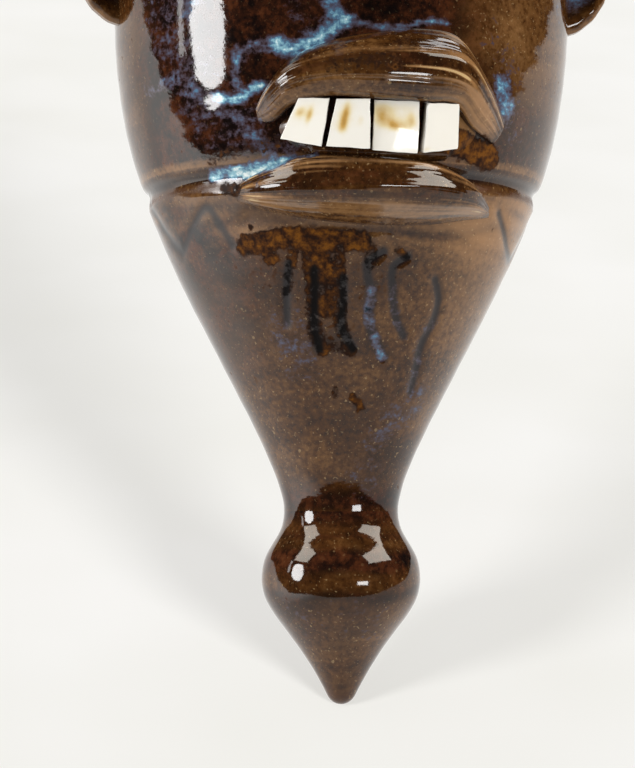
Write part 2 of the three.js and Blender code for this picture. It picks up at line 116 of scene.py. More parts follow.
# Milky blue glaze: a path on the wall, its half width and its strength, where 1 is nearly white
BLUE_RUNS = (
    (((-25, 174.6), (-22, 172.8), (-14.4, 175), (-9.9, 178.5), (-6.9, 179.8)), 2.3, 0.86),
    (((-6.9, 179.8), (0.7, 178.6), (6.7, 178.3), (13.8, 180.2), (20.3, 180.4)), 1.1, 0.66),
    (((-15, 203), (-12.5, 194), (-11.2, 184), (-9.2, 181.5), (-6.9, 179.8)), 2.4, 0.74),
    (((-22, 186), (-17, 180), (-13, 177.5)), 4.0, 0.36),
    (((-37, 172), (-31.9, 173.9), (-24.7, 174.4)), 2.0, 0.55),
    (((-35.3, 173.9), (-36.4, 167.7), (-35.8, 162.7)), 1.7, 0.6),
    (((-42.5, 162), (-36.1, 161), (-31.8, 163), (-28.9, 164.2)), 1.5, 0.9),
    (((-44, 142.8), (-37.4, 142.9), (-32.3, 143.2), (-26.7, 143.6), (-21.4, 145)), 1.8, 0.84),
    (((-26.7, 143.8), (-21.4, 145), (-13.6, 146)), 0.9, 0.62),
    (((-33.5, 142), (-29.2, 142.9), (-26.5, 144.2)), 1.2, 0.97),
    (((-64, 187), (-50.3, 171.6), (-47, 158.7), (-34.5, 152.8), (-26, 147.4)), 9.0, 0.4),
    (((-70, 166.5), (-54, 168.2), (-45.3, 161)), 2.4, 0.52),
    (((-59.9, 168.9), (-47, 162.4), (-34.6, 155.2)), 2.6, 0.5),
    (((-34, 153), (-26, 147.4)), 2.4, 0.55),
    (((39.3, 166.5), (41, 160.5)), 3.5, 0.72),
    (((35, 178), (43, 168), (46, 152)), 5.0, 0.32),
    (((2.6, 112.5), (2.3, 105.1), (4.7, 99.5), (7, 95.4)), 1.5, 0.56),
    (((8.2, 114), (9.7, 106), (12.6, 101)), 1.5, 0.42),
    (((-20, 104), (-15.3, 94)), 6.0, 0.38),
    (((6, 74), (17.1, 80.3), (22, 86)), 3.0, 0.42),
    (((12, 80), (6, 70), (4, 62)), 5.0, 0.34),
    (((21.9, 105.2), (18.7, 99.1), (17.9, 93.3), (16.5, 84)), 2.2, 0.36),
    (((-76, 135.4), (-69.9, 130.5), (-62.2, 125.7), (-59.1, 125), (-53.7, 129), (-46.5, 134.7)),
     1.6, 0.2),
    (((-29, 270), (-31, 254), (-36, 243), (-35, 236)), 4.6, 0.56),
    (((31, 270), (35, 258), (33, 248), (36, 240)), 4.2, 0.55),
    (((-8, 270), (-4, 256), (-7, 247)), 3.8, 0.52),
    (((-40, 207), (-44, 196), (-52, 186)), 3.6, 0.58),
    (((38, 232), (41, 220), (38, 206)), 3.4, 0.54),
    (((64, 240), (70, 215), (66, 190)), 7.0, 0.36),
    (((-70, 245), (-74, 220), (-70, 196)), 7.0, 0.36),
)

# Iron showing brown and ochre through the glaze: path, half width and strength
IRON_PATCHES = (
    (((-33, 124.4), (-22, 125.8), (-10, 125.2), (-1, 125)), 2.6, 1.0),
    (((-15, 123), (-13, 112), (-12, 103), (-9.5, 97.5)), 2.2, 0.74),
    (((-7, 123), (-5.8, 111), (-5, 103), (-2, 97)), 1.9, 0.7),
    (((-11, 123), (-10, 108)), 3.2, 0.85),
    (((-22, 116), (-8, 110), (4, 114)), 8.0, 0.2),
    (((-9.8, 99), (-2.5, 97.5)), 1.8, 0.66),
    (((-19, 122), (-20.4, 113)), 1.8, 0.62),
    (((-27, 124), (-25, 121)), 2.2, 0.8),
    (((1, 123.5), (2, 119.5)), 2.0, 0.58),
    (((9, 122.5), (11.5, 121)), 1.3, 0.58),
    (((-10, 167), (-3, 168.5), (4, 168)), 2.4, 0.5),
    (((22, 150.5), (29, 149), (35.5, 147.8)), 3.2, 1.25),
    (((-5.4, 86.8), (-5.2, 85.4)), 1.0, 0.6),
    (((-0.4, 84.8), (2.2, 81.6)), 1.2, 0.66),
    (((-39.5, 139.4), (-35.3, 138.2)), 1.9, 0.8),
    (((-31.7, 129.2), (-31.2, 128.8)), 0.7, 0.7),
    (((-24, 150), (-36, 148), (-44, 147)), 2.0, 0.5),
)

# The lips' guides as (around, up) from the middle of the mouth: far edge, crest and mouth edge
UPPER_LIP = (
    ((-30.5, 5.5), (-27.3, 11.2), (-21, 17.9), (-12, 21.6), (0, 24), (12, 25.4), (23.5, 24), (32, 15.5),
     (40.5, 4.5)),
    ((-29.5, 3.8), (-25.5, 7), (-20, 10.3), (-12, 11.9), (0, 12.4), (12, 12.4), (21.5, 11), (29, 6),
     (38, 0.5)),
    ((-29.5, 2.2), (-25, 1.8), (-19.5, 5.3), (-10.5, 7.1), (0, 6.6), (12, 6.1), (20.5, 6.1), (27, 1),
     (36, -2)),
    (0.14, 0.5, 0.85, 0.97, 1, 1, 0.9, 0.6, 0.14),
)
LOWER_LIP = (
    ((-35.5, -17.5), (-26, -20.5), (-13, -23), (2, -24.2), (16, -23.8), (28, -22), (38, -20.5)),
    ((-35, -15.5), (-26, -16), (-13, -16.4), (2, -16.6), (16, -16.6), (27, -17.2), (36.5, -19)),
    ((-36, -13.5), (-27, -9.6), (-15, -6.4), (2, -6.8), (16, -7.9), (28, -11.6), (37, -17.5)),
    (0.12, 0.6, 0.94, 1, 0.94, 0.62, 0.12),
)

# Each tile's corners as (around, up) from the middle of the mouth, clockwise from the top left,
# and its amber stains as (across, up, width, height, strength) in shares of the tile
TILES = (
    (((-17.8, 7.3), (-9.9, 7), (-12.4, -4.4), (-22.9, -2.2)),
     ((0.52, 0.6, 0.09, 0.2, 0.46), (0.2, 0.66, 0.15, 0.13, 0.32), (0.4, 0.7, 0.34, 0.2, 0.26))),
    (((-9.2, 6.9), (-0.6, 7), (-0.5, -4.9), (-11.7, -4.3)),
     ((0.33, 0.66, 0.11, 0.3, 0.46), (0.28, 0.42, 0.14, 0.15, 0.34), (0.3, 0.66, 0.3, 0.34, 0.28),
      (0.76, 0.6, 0.1, 0.12, 0.3))),
    (((-0.4, 6.6), (11.4, 6.7), (11.4, -5.7), (-0.3, -5.3)),
     ((0.42, 0.52, 0.13, 0.12, 0.36), (0.22, 0.62, 0.2, 0.18, 0.32), (0.82, 0.64, 0.12, 0.16, 0.36),
      (0.5, 0.6, 0.44, 0.18, 0.3), (0.1, 0.8, 0.18, 0.22, 0.34), (0.6, 0.5, 0.16, 0.08, 0.3),
      (0.55, 0.88, 0.5, 0.14, 0.24))),
    (((12.3, 6.5), (21, 6.8), (22, -3.9), (12.3, -5.5)),
     ((0.08, 0.06, 0.12, 0.06, 0.24),)),
)


# Measures along the wall
def bezier(start, out, into, end, steps):
    """Points of a cubic curve between two (radius, height) ends."""
    t = np.linspace(0, 1, steps + 1)[:, None]
    a, b, c, d = (np.array(p, float) for p in (start, out, into, end))
    return a * (1 - t) ** 3 + 3 * b * t * (1 - t) ** 2 + 3 * c * t * t * (1 - t) + d * t ** 3


def profile():
    """The wall's outside from the tip to under the rim as rows of (radius, height)."""
    rows = [bezier((0, 0), (1.8, 0), (3.2, 1), (4.2, 3.1), 12)]
    for start, gain_out, reach_out, end, gain_in, reach_in in STRETCHES:
        rise = end[1] - start[1]
        out = (start[0] + gain_out * reach_out * rise, start[1] + reach_out * rise)
        into = (end[0] - gain_in * reach_in * rise, end[1] - reach_in * rise)
        rows.append(bezier(start, out, into, end, max(12, int(rise * 2)))[1:])
    return np.concatenate(rows)


PROFILE = profile()


def wall_radius(height):
    """The wall's outer radius at a height or at many."""
    return np.interp(height, PROFILE[:, 1], PROFILE[:, 0])


def on_wall(around, height, out=0.0):
    """The point in metres that lies so far round the wall, above the tip and out from the wall."""
    radius = wall_radius(height)
    turn = around / radius
    return Vector((
        (radius + out) * math.sin(turn) * MM,
        AXIS_Y - (radius + out) * math.cos(turn) * MM,
        TIP_Z + height * MM,
    ))


def wall_frame(around, height):
    """A matrix in metres: right, up along the wall and outward at a place on the wall."""
    right = (on_wall(around + 0.5, height) - on_wall(around - 0.5, height)).normalized()
    climb = (on_wall(around, height + 4) - on_wall(around, height - 4)).normalized()
    outward = right.cross(climb).normalized()
    up = outward.cross(right)
    here = on_wall(around, height)
    return Matrix((
        (right.x, up.x, outward.x, here.x),
        (right.y, up.y, outward.y, here.y),
        (right.z, up.z, outward.z, here.z),
        (0, 0, 0, 1),
    ))


def unrolled(verts):
    """Each vertex as (around, height, out) in millimetres."""
    x, y, z = np.array([v.co[:] for v in verts]).T
    height = (z - TIP_Z) / MM
    radius = wall_radius(height)
    out = np.hypot(x, y - AXIS_Y) / MM - radius
    return np.stack([np.arctan2(x, AXIS_Y - y) * radius, height, out], axis=1)


def spline(points, share):
    """A point on the smooth curve through points, at a share of their number from 0 to 1."""
    points = [Vector(p) if hasattr(p, "__len__") else Vector((p, 0)) for p in points]
    at = share * (len(points) - 1)
    i = min(int(at), len(points) - 2)
    p0, p1, p2 = points[max(i - 1, 0)], points[i], points[i + 1]
    p3 = points[min(i + 2, len(points) - 1)]
    t = at - i
    v0, v1 = (p2 - p0) / 2, (p3 - p1) / 2
    return (2 * p1 - 2 * p2 + v0 + v1) * t ** 3 + (3 * p2 - 3 * p1 - 2 * v0 - v1) * t * t + v0 * t + p1


def distance(places, path):
    """Each place's distance to a smooth path through (around, height) points."""
    steps = 6 * (len(path) - 1)
    line = np.array([spline(path, i / steps)[:] for i in range(steps + 1)])
    nearest = np.full(len(places), 1e9)
    for a, b in zip(line[:-1], line[1:]):
        d = b - a
        t = np.clip(((places - a) @ d) / max(d @ d, 1e-9), 0, 1)
        nearest = np.minimum(nearest, np.hypot(*(places - a - t[:, None] * d).T))
    return nearest


def ease(low, high, value):
    """A soft step from 0 at low to 1 at high."""
    t = np.clip((value - low) / (high - low), 0, 1)
    return t * t * (3 - 2 * t)


def bell(value, middle, width):
    """A smooth hump, 1 at the middle, that falls away over the width to both sides."""
    return np.exp(-(((value - middle) / width) ** 2))


def ripples(across, along, across_rate, along_rate, seed):
    """A smooth random value from about -1 to 1 for each pair of places."""
    return np.array([noise.noise(Vector((a * across_rate, b * along_rate, seed)))
                     for a, b in zip(across, along)])


# Materials
def linear(colour):
    """An sRGB hex colour as linear RGBA."""
    channels = [int(colour[i:i + 2], 16) / 255 for i in (1, 3, 5)]
    return tuple(c / 12.92 if c <= 0.04045 else ((c + 0.055) / 1.055) ** 2.4 for c in channels) + (1.0,)


def add(tree, kind, inputs=(), stops=(), out=0, **settings):
    """Adds a node, named by its kind and operation, with its settings, colour stops and input
    values or links, and gives one of its outputs."""
    kind, _, operation = kind.partition(" ")
    node = tree.nodes.new("ShaderNode" + kind)
    if operation:
        node.operation = operation
    for key, value in settings.items():
        setattr(node, key, value)
    if stops:
        ramp = node.color_ramp
        while len(ramp.elements) < len(stops):
            ramp.elements.new(0.5)
        for element, (place, colour) in zip(ramp.elements, stops):
            element.position = place
            element.color = linear(colour) if isinstance(colour, str) else colour
    for key, value in (inputs.items() if isinstance(inputs, dict) else enumerate(inputs)):
        if isinstance(value, bpy.types.NodeSocket):
            tree.links.new(value, node.inputs[key])
        else:
            node.inputs[key].default_value = value
    return node.outputs[out] if node.outputs else node


def material(name, surface):
    """The material of a name, made of its surface's nodes when it is first asked for."""
    made = bpy.data.materials.get(name)
    if not made:
        made = bpy.data.materials.new(name)
        made.use_nodes = True
        made.node_tree.nodes.clear()
        add(made.node_tree, "OutputMaterial", (surface(made.node_tree),))
    return made


def amber_glaze(tree):
    """Iron-amber tenmoku over speckled stoneware: a glassy coat, IOR 1.5, that breaks tan where it
    thins, pools black in cuts and goes milky blue where rutile runs through it."""
    glazes = bpy.context.scene.pocket_glazes
    broken, speck, clay = (tuple(colour) for colour in (glazes.broken, glazes.speck, glazes.clay))
    thick, thin, incised, run, dry, iron = (
        add(tree, "Attribute", attribute_name=name, out="Fac")
        for name in ("thick", "thin", "incised", "run", "dry", "iron"))
    place = add(tree, "TexCoord", out="Object")
    level = add(tree, "Mapping", {"Vector": place, "Scale": (1, 1, 2.2)})
    # Cloudy changes of tone over about 30 mm and blots, drawn out level by the throwing, a fine
    # mottle, patches of about 8 mm, dust, the skin's slow waves and its orange peel, and iron spots
    cloud, blot, grain, patch, dust, waves, peel, spots = (
        add(tree, "TexNoise", {"Vector": where, "Scale": scale, "Detail": detail, "Roughness": rough})
        for where, scale, detail, rough in (
            (level, 32, 4, 0.6), (level, 190, 4, 0.65), (place, 620, 4, 0.62), (place, 120, 5, 0.62),
            (place, 1300, 1, 0.5), (level, 110, 2, 0.5), (place, 650, 3, 0.5), (place, 330, 3, 0.6)))
    coarse, fine, ragged = (add(tree, "Math SUBTRACT", (value, 0.5)) for value in (blot, grain, spots))
    tone = add(tree, "Math MULTIPLY_ADD", (fine, 0.9, cloud))
    colour = add(tree, "ValToRGB", (tone,), ((0.3, "#2A1608"), (0.5, "#432810"), (0.7, "#604121")))
    # Masks with edges that the mottle breaks up: thick glaze, cuts, dry clay and larger specks
    cells = add(tree, "TexVoronoi", {"Vector": place, "Scale": 300, "Randomness": 1})
    thick, cut, dry, near = (
        add(tree, "MapRange", (add(tree, "Math MULTIPLY_ADD", (grit, amount, mask)), *limits), **SMOOTH)
        for grit, amount, mask, limits in (
            (fine, 0.8, thick, (0.1, 0.9)), (fine, 0.3, incised, (0.15, 0.95)),
            (coarse, 0.6, dry, (0.3, 0.9)), (fine, 0.3, cells, (0.16, 0.08, 0, 0.32))))
    # Thick glaze, nearly black with rusty patches; on the cone's left side this layer also carries
    # painted shade
    deep = add(tree, "ValToRGB", (add(tree, "Math MULTIPLY_ADD", (fine, 0.6, patch)),), (
        (0.36, "#0F0807"), (0.48, "#25120A"), (0.6, "#3D1F10"), (0.74, "#4C2A17")))
    # Tan where the glaze breaks over high clay, cream where it is nearly gone; on the lips'
    # downward-facing sides the tan is partly painted reflection
    thin = add(tree, "Math MULTIPLY_ADD", (coarse, 0.5, thin))
    thin = add(tree, "Math MULTIPLY_ADD", (fine, 0.5, thin))
    tan, cream, worn = (add(tree, "MapRange", (thin, low, high), **SMOOTH)
                        for low, high in ((0.05, 1.0), (1.0, 1.35), (0.1, 0.8)))
    # Specks of the clay: many small and a few larger
    shallow = add(tree, "Math MULTIPLY_ADD", (thick, -0.8, 1.0))
    dust = add(tree, "MapRange", (dust, 0.64, 0.8, 0, 0.42), **SMOOTH)
    dusty = add(tree, "Math MULTIPLY", (dust, shallow))
    pick = add(tree, "SeparateColor", (cells.node.outputs["Color"],))
    chosen = add(tree, "Math MULTIPLY", (add(tree, "Math GREATER_THAN", (pick, 0.87)), shallow))
    specks = add(tree, "Math MULTIPLY", (near, chosen))
    # Cuts, where the glaze pools blue-black; under the lower lip the crease's darkness is partly painted
    # shade
    pooled = add(tree, "Math MULTIPLY", (cut, 0.92))
    # Milky runs, from grey-violet threads through blue to nearly white
    mottle = add(tree, "Math MULTIPLY", (add(tree, "Math ADD", (coarse, fine)), 0.8))
    spread = add(tree, "Math MULTIPLY_ADD", (run, -0.9, 1.55))
    drawn = add(tree, "Math MULTIPLY_ADD", (mottle, spread, run))
    drawn = add(tree, "Math MINIMUM", (drawn, add(tree, "Math ADD", (run, 0.24))))
    milk = add(tree, "ValToRGB", (drawn,), (
        (0.3, "#2A1E22"), (0.5, "#41373F"), (0.64, "#4C4F62"), (0.76, "#4E7491"), (0.88, "#8BB9C7"),
        (1.0, "#ECF5F3")))
    present = add(tree, "Math MULTIPLY", (run, 6.0), use_clamp=True)
    milky = add(tree, "MapRange", (drawn, 0.3, 0.56), **SMOOTH)
    milky = add(tree, "Math MULTIPLY", (milky, present))
    # Bare clay at the tip and behind, where the glaze was wiped off before the fire
    toasted = add(tree, "MapRange", (tone, 0.42, 0.6), **SMOOTH)
    dotted = add(tree, "Math MULTIPLY", (dust, 0.6))
    # Iron patches: amber with dark brown borders, too crystalline to mirror
    edged = add(tree, "Math MULTIPLY_ADD", (ragged, 1.1, iron))
    edged = add(tree, "Math MULTIPLY_ADD", (fine, 1.7, edged))
    iron = add(tree, "MapRange", (edged, 0.26, 0.7), **SMOOTH)
    rust = add(tree, "Math MULTIPLY_ADD", (edged, 0.36, add(tree, "Math MULTIPLY", (spots, 0.8))))
    rust = add(tree, "ValToRGB", (rust,), (
        (0.5, "#120805"), (0.64, "#261206"), (0.78, "#45270C"), (0.94, "#673E10")))
    # The clay toasted and dotted, and the iron black in the cuts
    for over, share in ((linear("#3B2214"), toasted), (speck, dotted)):
        clay = add(tree, "Mix", {0: share, 6: clay, 7: over}, out=2, data_type="RGBA")
    rust = add(tree, "Mix", {0: cut, 6: rust, 7: linear("#0B0808")}, out=2, data_type="RGBA")
    # Everything over the first tone, from the lowest coat to the highest
    for over, share in ((deep, thick), (broken, tan), (speck, cream), (speck, dusty), (speck, specks),
                        (linear("#131014"), pooled), (milk, milky), (clay, dry)):
        colour = add(tree, "Mix", {0: share, 6: colour, 7: over}, out=2, data_type="RGBA")
    sheer = add(tree, "Math MULTIPLY_ADD", (worn, 0.2, dry))
    rough = add(tree, "MapRange", (sheer, 0, 1, 0.06, 0.45))
    # Skin of the glaze: orange peel of about 1.5 mm over slow waves of about 8 mm
    slow = add(tree, "Bump", {"Height": waves, "Strength": 1.0, "Distance": 0.00006})
    skin = add(tree, "Bump", {"Height": peel, "Strength": 1.0, "Distance": 0.00002, "Normal": slow})
    gloss = add(tree, "BsdfPrincipled", {
        "Base Color": colour, "Roughness": rough, "Normal": skin, "IOR": 1.5})
    crystals = add(tree, "BsdfPrincipled", {
        "Base Color": rust, "Roughness": 0.5, "Normal": skin, "Specular IOR Level": 0.08})
    return add(tree, "MixShader", (iron, gloss, crystals))


def tile_glaze(tree):
    """Broken glazed wall tile: a cream-white glaze, very glossy, with amber run onto it."""
    place = add(tree, "TexCoord", out="Object")
    cloud = add(tree, "TexNoise", {"Vector": place, "Scale": 240, "Detail": 3})
    stain, bare = (add(tree, "Attribute", attribute_name=name, out="Fac") for name in ("stain", "bare"))
    shaken = add(tree, "Math SUBTRACT", (cloud, 0.5))
    shaken = add(tree, "Math MULTIPLY_ADD", (shaken, 1.1, stain))
    wash = add(tree, "Math MULTIPLY", (shaken, stain), use_clamp=True)
    amber = add(tree, "ValToRGB", (wash,), (
        (0.0, tuple(bpy.context.scene.pocket_glazes.tile)), (0.2, "#E6D6AC"), (0.5, "#CBA35C"),
        (0.9, "#8C5E24")))
    rim = add(tree, "Mix", {0: bare, 6: amber, 7: linear("#5A4028")}, out=2, data_type="RGBA")
    skin = add(tree, "Bump", {"Height": cloud, "Strength": 1.0, "Distance": 0.00002})
    return add(tree, "BsdfPrincipled", {
        "Base Color": rim, "Roughness": 0.08, "Normal": skin, "IOR": 1.52})


def white_slip(tree):
    """White slip under a clear gloss, clouded faintly, with an iron-black pupil."""
    place = add(tree, "TexCoord", out="Object")
    cloud = add(tree, "TexNoise", {"Vector": place, "Scale": 300, "Detail": 4})
    cream = add(tree, "ValToRGB", (cloud,), ((0.35, "#B8A883"), (0.6, "#D8CDB4"), (1.0, "#E4DCC8")))
    pupil = add(tree, "Attribute", attribute_name="pupil", out="Fac")
    black = tuple(bpy.context.scene.pocket_glazes.pupil)
    seen = add(tree, "Mix", {0: pupil, 6: cream, 7: black}, out=2, data_type="RGBA")
    skin = add(tree, "Bump", {"Height": cloud, "Strength": 1.0, "Distance": 0.00003})
    return add(tree, "BsdfPrincipled", {
        "Base Color": seen, "Roughness": 0.1, "Normal": skin, "IOR": 1.5})


def background_paper(tree):
    """Matt white background paper: mottled faintly by its fibres, and seen from above only."""
    place = add(tree, "TexCoord", out="Object")
    grain = add(tree, "TexNoise", {"Vector": place, "Scale": 9, "Detail": 2})
    colour = add(tree, "ValToRGB", (grain,), ((0.3, "#F2F1EC"), (0.7, "#F8F7F4")))
    matt = add(tree, "BsdfDiffuse", (colour,))
    glow = add(tree, "Emission", (colour, 1.0))
    lit = add(tree, "MixShader", (0.6, matt, glow))
    clear = add(tree, "BsdfTransparent")
    under = add(tree, "NewGeometry", out="Backfacing")
    return add(tree, "MixShader", (under, lit, clear))


# The finish of each material slot: the material's name and its surface
FINISHES = {
    "amber_glaze": ("tenmoku glazed stoneware", amber_glaze),
    "dark_glaze": ("tenmoku glazed stoneware", amber_glaze),
    "tile_glaze": ("cream glazed tile", tile_glaze),
    "white_slip": ("white slip under clear glaze", white_slip),
}


# Making pieces
def smooth_object(name, bm, *finish):
    """Makes a smooth object of a mesh in one material."""
    for face in bm.faces:
        face.smooth = True
    mesh = bpy.data.meshes.new(name)
    bm.to_mesh(mesh)
    bm.free()
    mesh.materials.append(material(*finish))
    made = bpy.data.objects.new(name, mesh)
    bpy.context.scene.collection.objects.link(made)
    return made


def piece(name, bm, slot, *nodes):
    """Finishes a mesh as a piece that stands for its nodes of the frame."""
    bmesh.ops.recalc_face_normals(bm, faces=bm.faces)
    # The recalculation can take the scooped side of a leaf for its inside
    if bm.calc_volume(signed=True) < 0:
        bmesh.ops.reverse_faces(bm, faces=bm.faces)
    made = smooth_object(name, bm, *FINISHES[slot])
    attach(made, "root")
    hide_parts(*nodes)
    return made


def paint(made, **layers):
    """Stores a number per vertex under each name for the material to read."""
    for name, values in layers.items():
        layer = made.data.attributes.get(name) or made.data.attributes.new(name, "FLOAT", "POINT")
        layer.data.foreach_set("value", np.asarray(values, dtype=np.float32))


def paint_runs(made, veil=0.0):
    """Paints the milky runs, over a veil, and the iron patches that cross a piece, by its place on
    the wall."""
    places = unrolled(made.data.vertices)[:, :2]
    run, iron = veil + np.zeros(len(places)), np.zeros(len(places))
    for path, width, strength in BLUE_RUNS:
        run = np.maximum(run, strength * np.exp(-((distance(places, path) / width) ** 3) * 0.5))
    for path, width, strength in IRON_PATCHES:
        iron = np.maximum(iron, strength * (1 - ease(0.6 * width, 1.5 * width, distance(places, path))))
    paint(made, run=np.where(run < 0.05, 0, run), iron=iron)


def turned(rows, steps):
    """A closed profile of (radius, height) rows from axis to axis, spun once about the pot's axis."""
    bm = bmesh.new()
    verts = [bm.verts.new((r * MM, AXIS_Y, TIP_Z + h * MM)) for r, h in rows]
    edges = [bm.edges.new(pair) for pair in zip(verts[:-1], verts[1:])]
    bmesh.ops.spin(bm, geom=verts + edges, cent=(0, AXIS_Y, 0), axis=(0, 0, 1), dvec=(0, 0, 0),
                   angle=2 * math.pi, steps=steps, use_merge=True, use_duplicate=False)
    bmesh.ops.remove_doubles(bm, verts=bm.verts, dist=0.02 * MM)
    bmesh.ops.recalc_face_normals(bm, faces=bm.faces)
    return bm


def rim_arc(start, end, steps):
    """Points of the rolled rim as (radius, height) between two angles in degrees."""
    return [(ROLL_CENTRE[0] + ROLL_RADIUS * math.cos(a), ROLL_CENTRE[1] + ROLL_RADIUS * math.sin(a))
            for a in np.radians(np.linspace(start, end, steps))]


def cut_flat(bm, y, side):
    """Cuts a turned form off square behind (side 1) or before (side -1) a depth."""
    bmesh.ops.bisect_plane(bm, geom=bm.verts[:] + bm.edges[:] + bm.faces[:], dist=1e-7,
                           plane_co=(0, y, 0), plane_no=(0, side, 0), clear_outer=True)


def push_out(vert, out):
    """Moves a vertex so many millimetres away from the pot's axis."""
    share = 1 + out / max(1.0, math.hypot(vert.co.x, vert.co.y - AXIS_Y) / MM)
    vert.co.x *= share
    vert.co.y = AXIS_Y + (vert.co.y - AXIS_Y) * share


def tube(along, across, place):
    """A closed skin from a grid whose long edges meet: place gives the point at a share along and
    a share round."""
    bm = bmesh.new()
    bmesh.ops.create_grid(bm, x_segments=along, y_segments=across, size=1)
    shares, turns = bm.verts.layers.float.new("along"), bm.verts.layers.float.new("round")
    for v in bm.verts:
        v[shares], v[turns] = (v.co.x + 1) / 2, (v.co.y + 1) / 2
        v.co = place(v[shares], v[turns])
    bmesh.ops.remove_doubles(bm, verts=bm.verts, dist=0.003 * MM)
    bmesh.ops.holes_fill(bm, edges=[e for e in bm.edges if e.is_boundary], sides=0)
    return bm


def lay(name, node, along, across, place, slot="amber_glaze"):
    """Lays a roll of clay on the wall. Gives it with the shares along and round and the places
    (around, height, out) of its vertices."""
    made = piece(name, tube(along, across, place), slot, node)
    columns = []
    for shares in ("along", "round"):
        layer = made.data.attributes[shares]
        columns.append(np.empty(len(layer.data), dtype=np.float32))
        layer.data.foreach_get("value", columns[-1])
        made.data.attributes.remove(layer)
    return made, *columns, *unrolled(made.data.vertices).T


def lumps(point, size, seed=0.0):
    """A smooth random value from about -1 to 1 that changes over a size in millimetres."""
    return noise.noise(point / (size * MM) + Vector((seed, 0.3 * seed, -seed)))


# Sizes, glaze colours and the studio
class PocketSizes(bpy.types.PropertyGroup):
    """Sizes of the parts that only show in the finish"""

    wall: FloatProperty(name="Wall", description="Thickness of the thrown wall",
                        default=0.0055, unit="LENGTH")
    hole: FloatProperty(name="Hanging hole", description="Diameter of the hole in the back",
                        default=0.009, unit="LENGTH")
    slab_edge: FloatProperty(name="Slab edge", description="Bevel round the back of the slab",
                             default=0.0012, unit="LENGTH")
    tile_edge: FloatProperty(name="Tile edge", description="Rounding of the tiles' edges",
                             default=0.0003, unit="LENGTH")
    upper_rise: FloatProperty(name="Upper lip", description="How far the upper lip stands out",
                              default=0.009, unit="LENGTH")
    lower_rise: FloatProperty(name="Lower lip", description="How far the lower lip stands out",
                              default=0.009, unit="LENGTH")


class PocketGlazes(bpy.types.PropertyGroup):
    """Colours of the glazes"""

    broken: FloatVectorProperty(name="Broken glaze", description="Tan where the glaze runs thin",
                                subtype="COLOR", size=4, default=linear("#8A6540"))
    speck: FloatVectorProperty(name="Speck", description="Specks of the clay under the glaze",
                               subtype="COLOR", size=4, default=linear("#B99C70"))
    clay: FloatVectorProperty(name="Bare clay", description="Fired stoneware without glaze",
                              subtype="COLOR", size=4, default=linear("#55331F"))
    tile: FloatVectorProperty(name="Tile", description="Glaze of the tile teeth",
                              subtype="COLOR", size=4, default=linear("#F1EEE6"))
    pupil: FloatVectorProperty(name="Pupil", description="Iron black of the pupils",
                               subtype="COLOR", size=4, default=linear("#17100C"))


class PocketStudio(bpy.types.PropertyGroup):
    """The paper sweep and the light"""

    tilt: FloatProperty(name="Tilt", description="Rise of the sweep behind the pocket",
                        default=math.radians(25), subtype="ANGLE")
    light: FloatProperty(name="Light", description="Share of the lamps' full strength",
                         default=1.0, min=0.0)


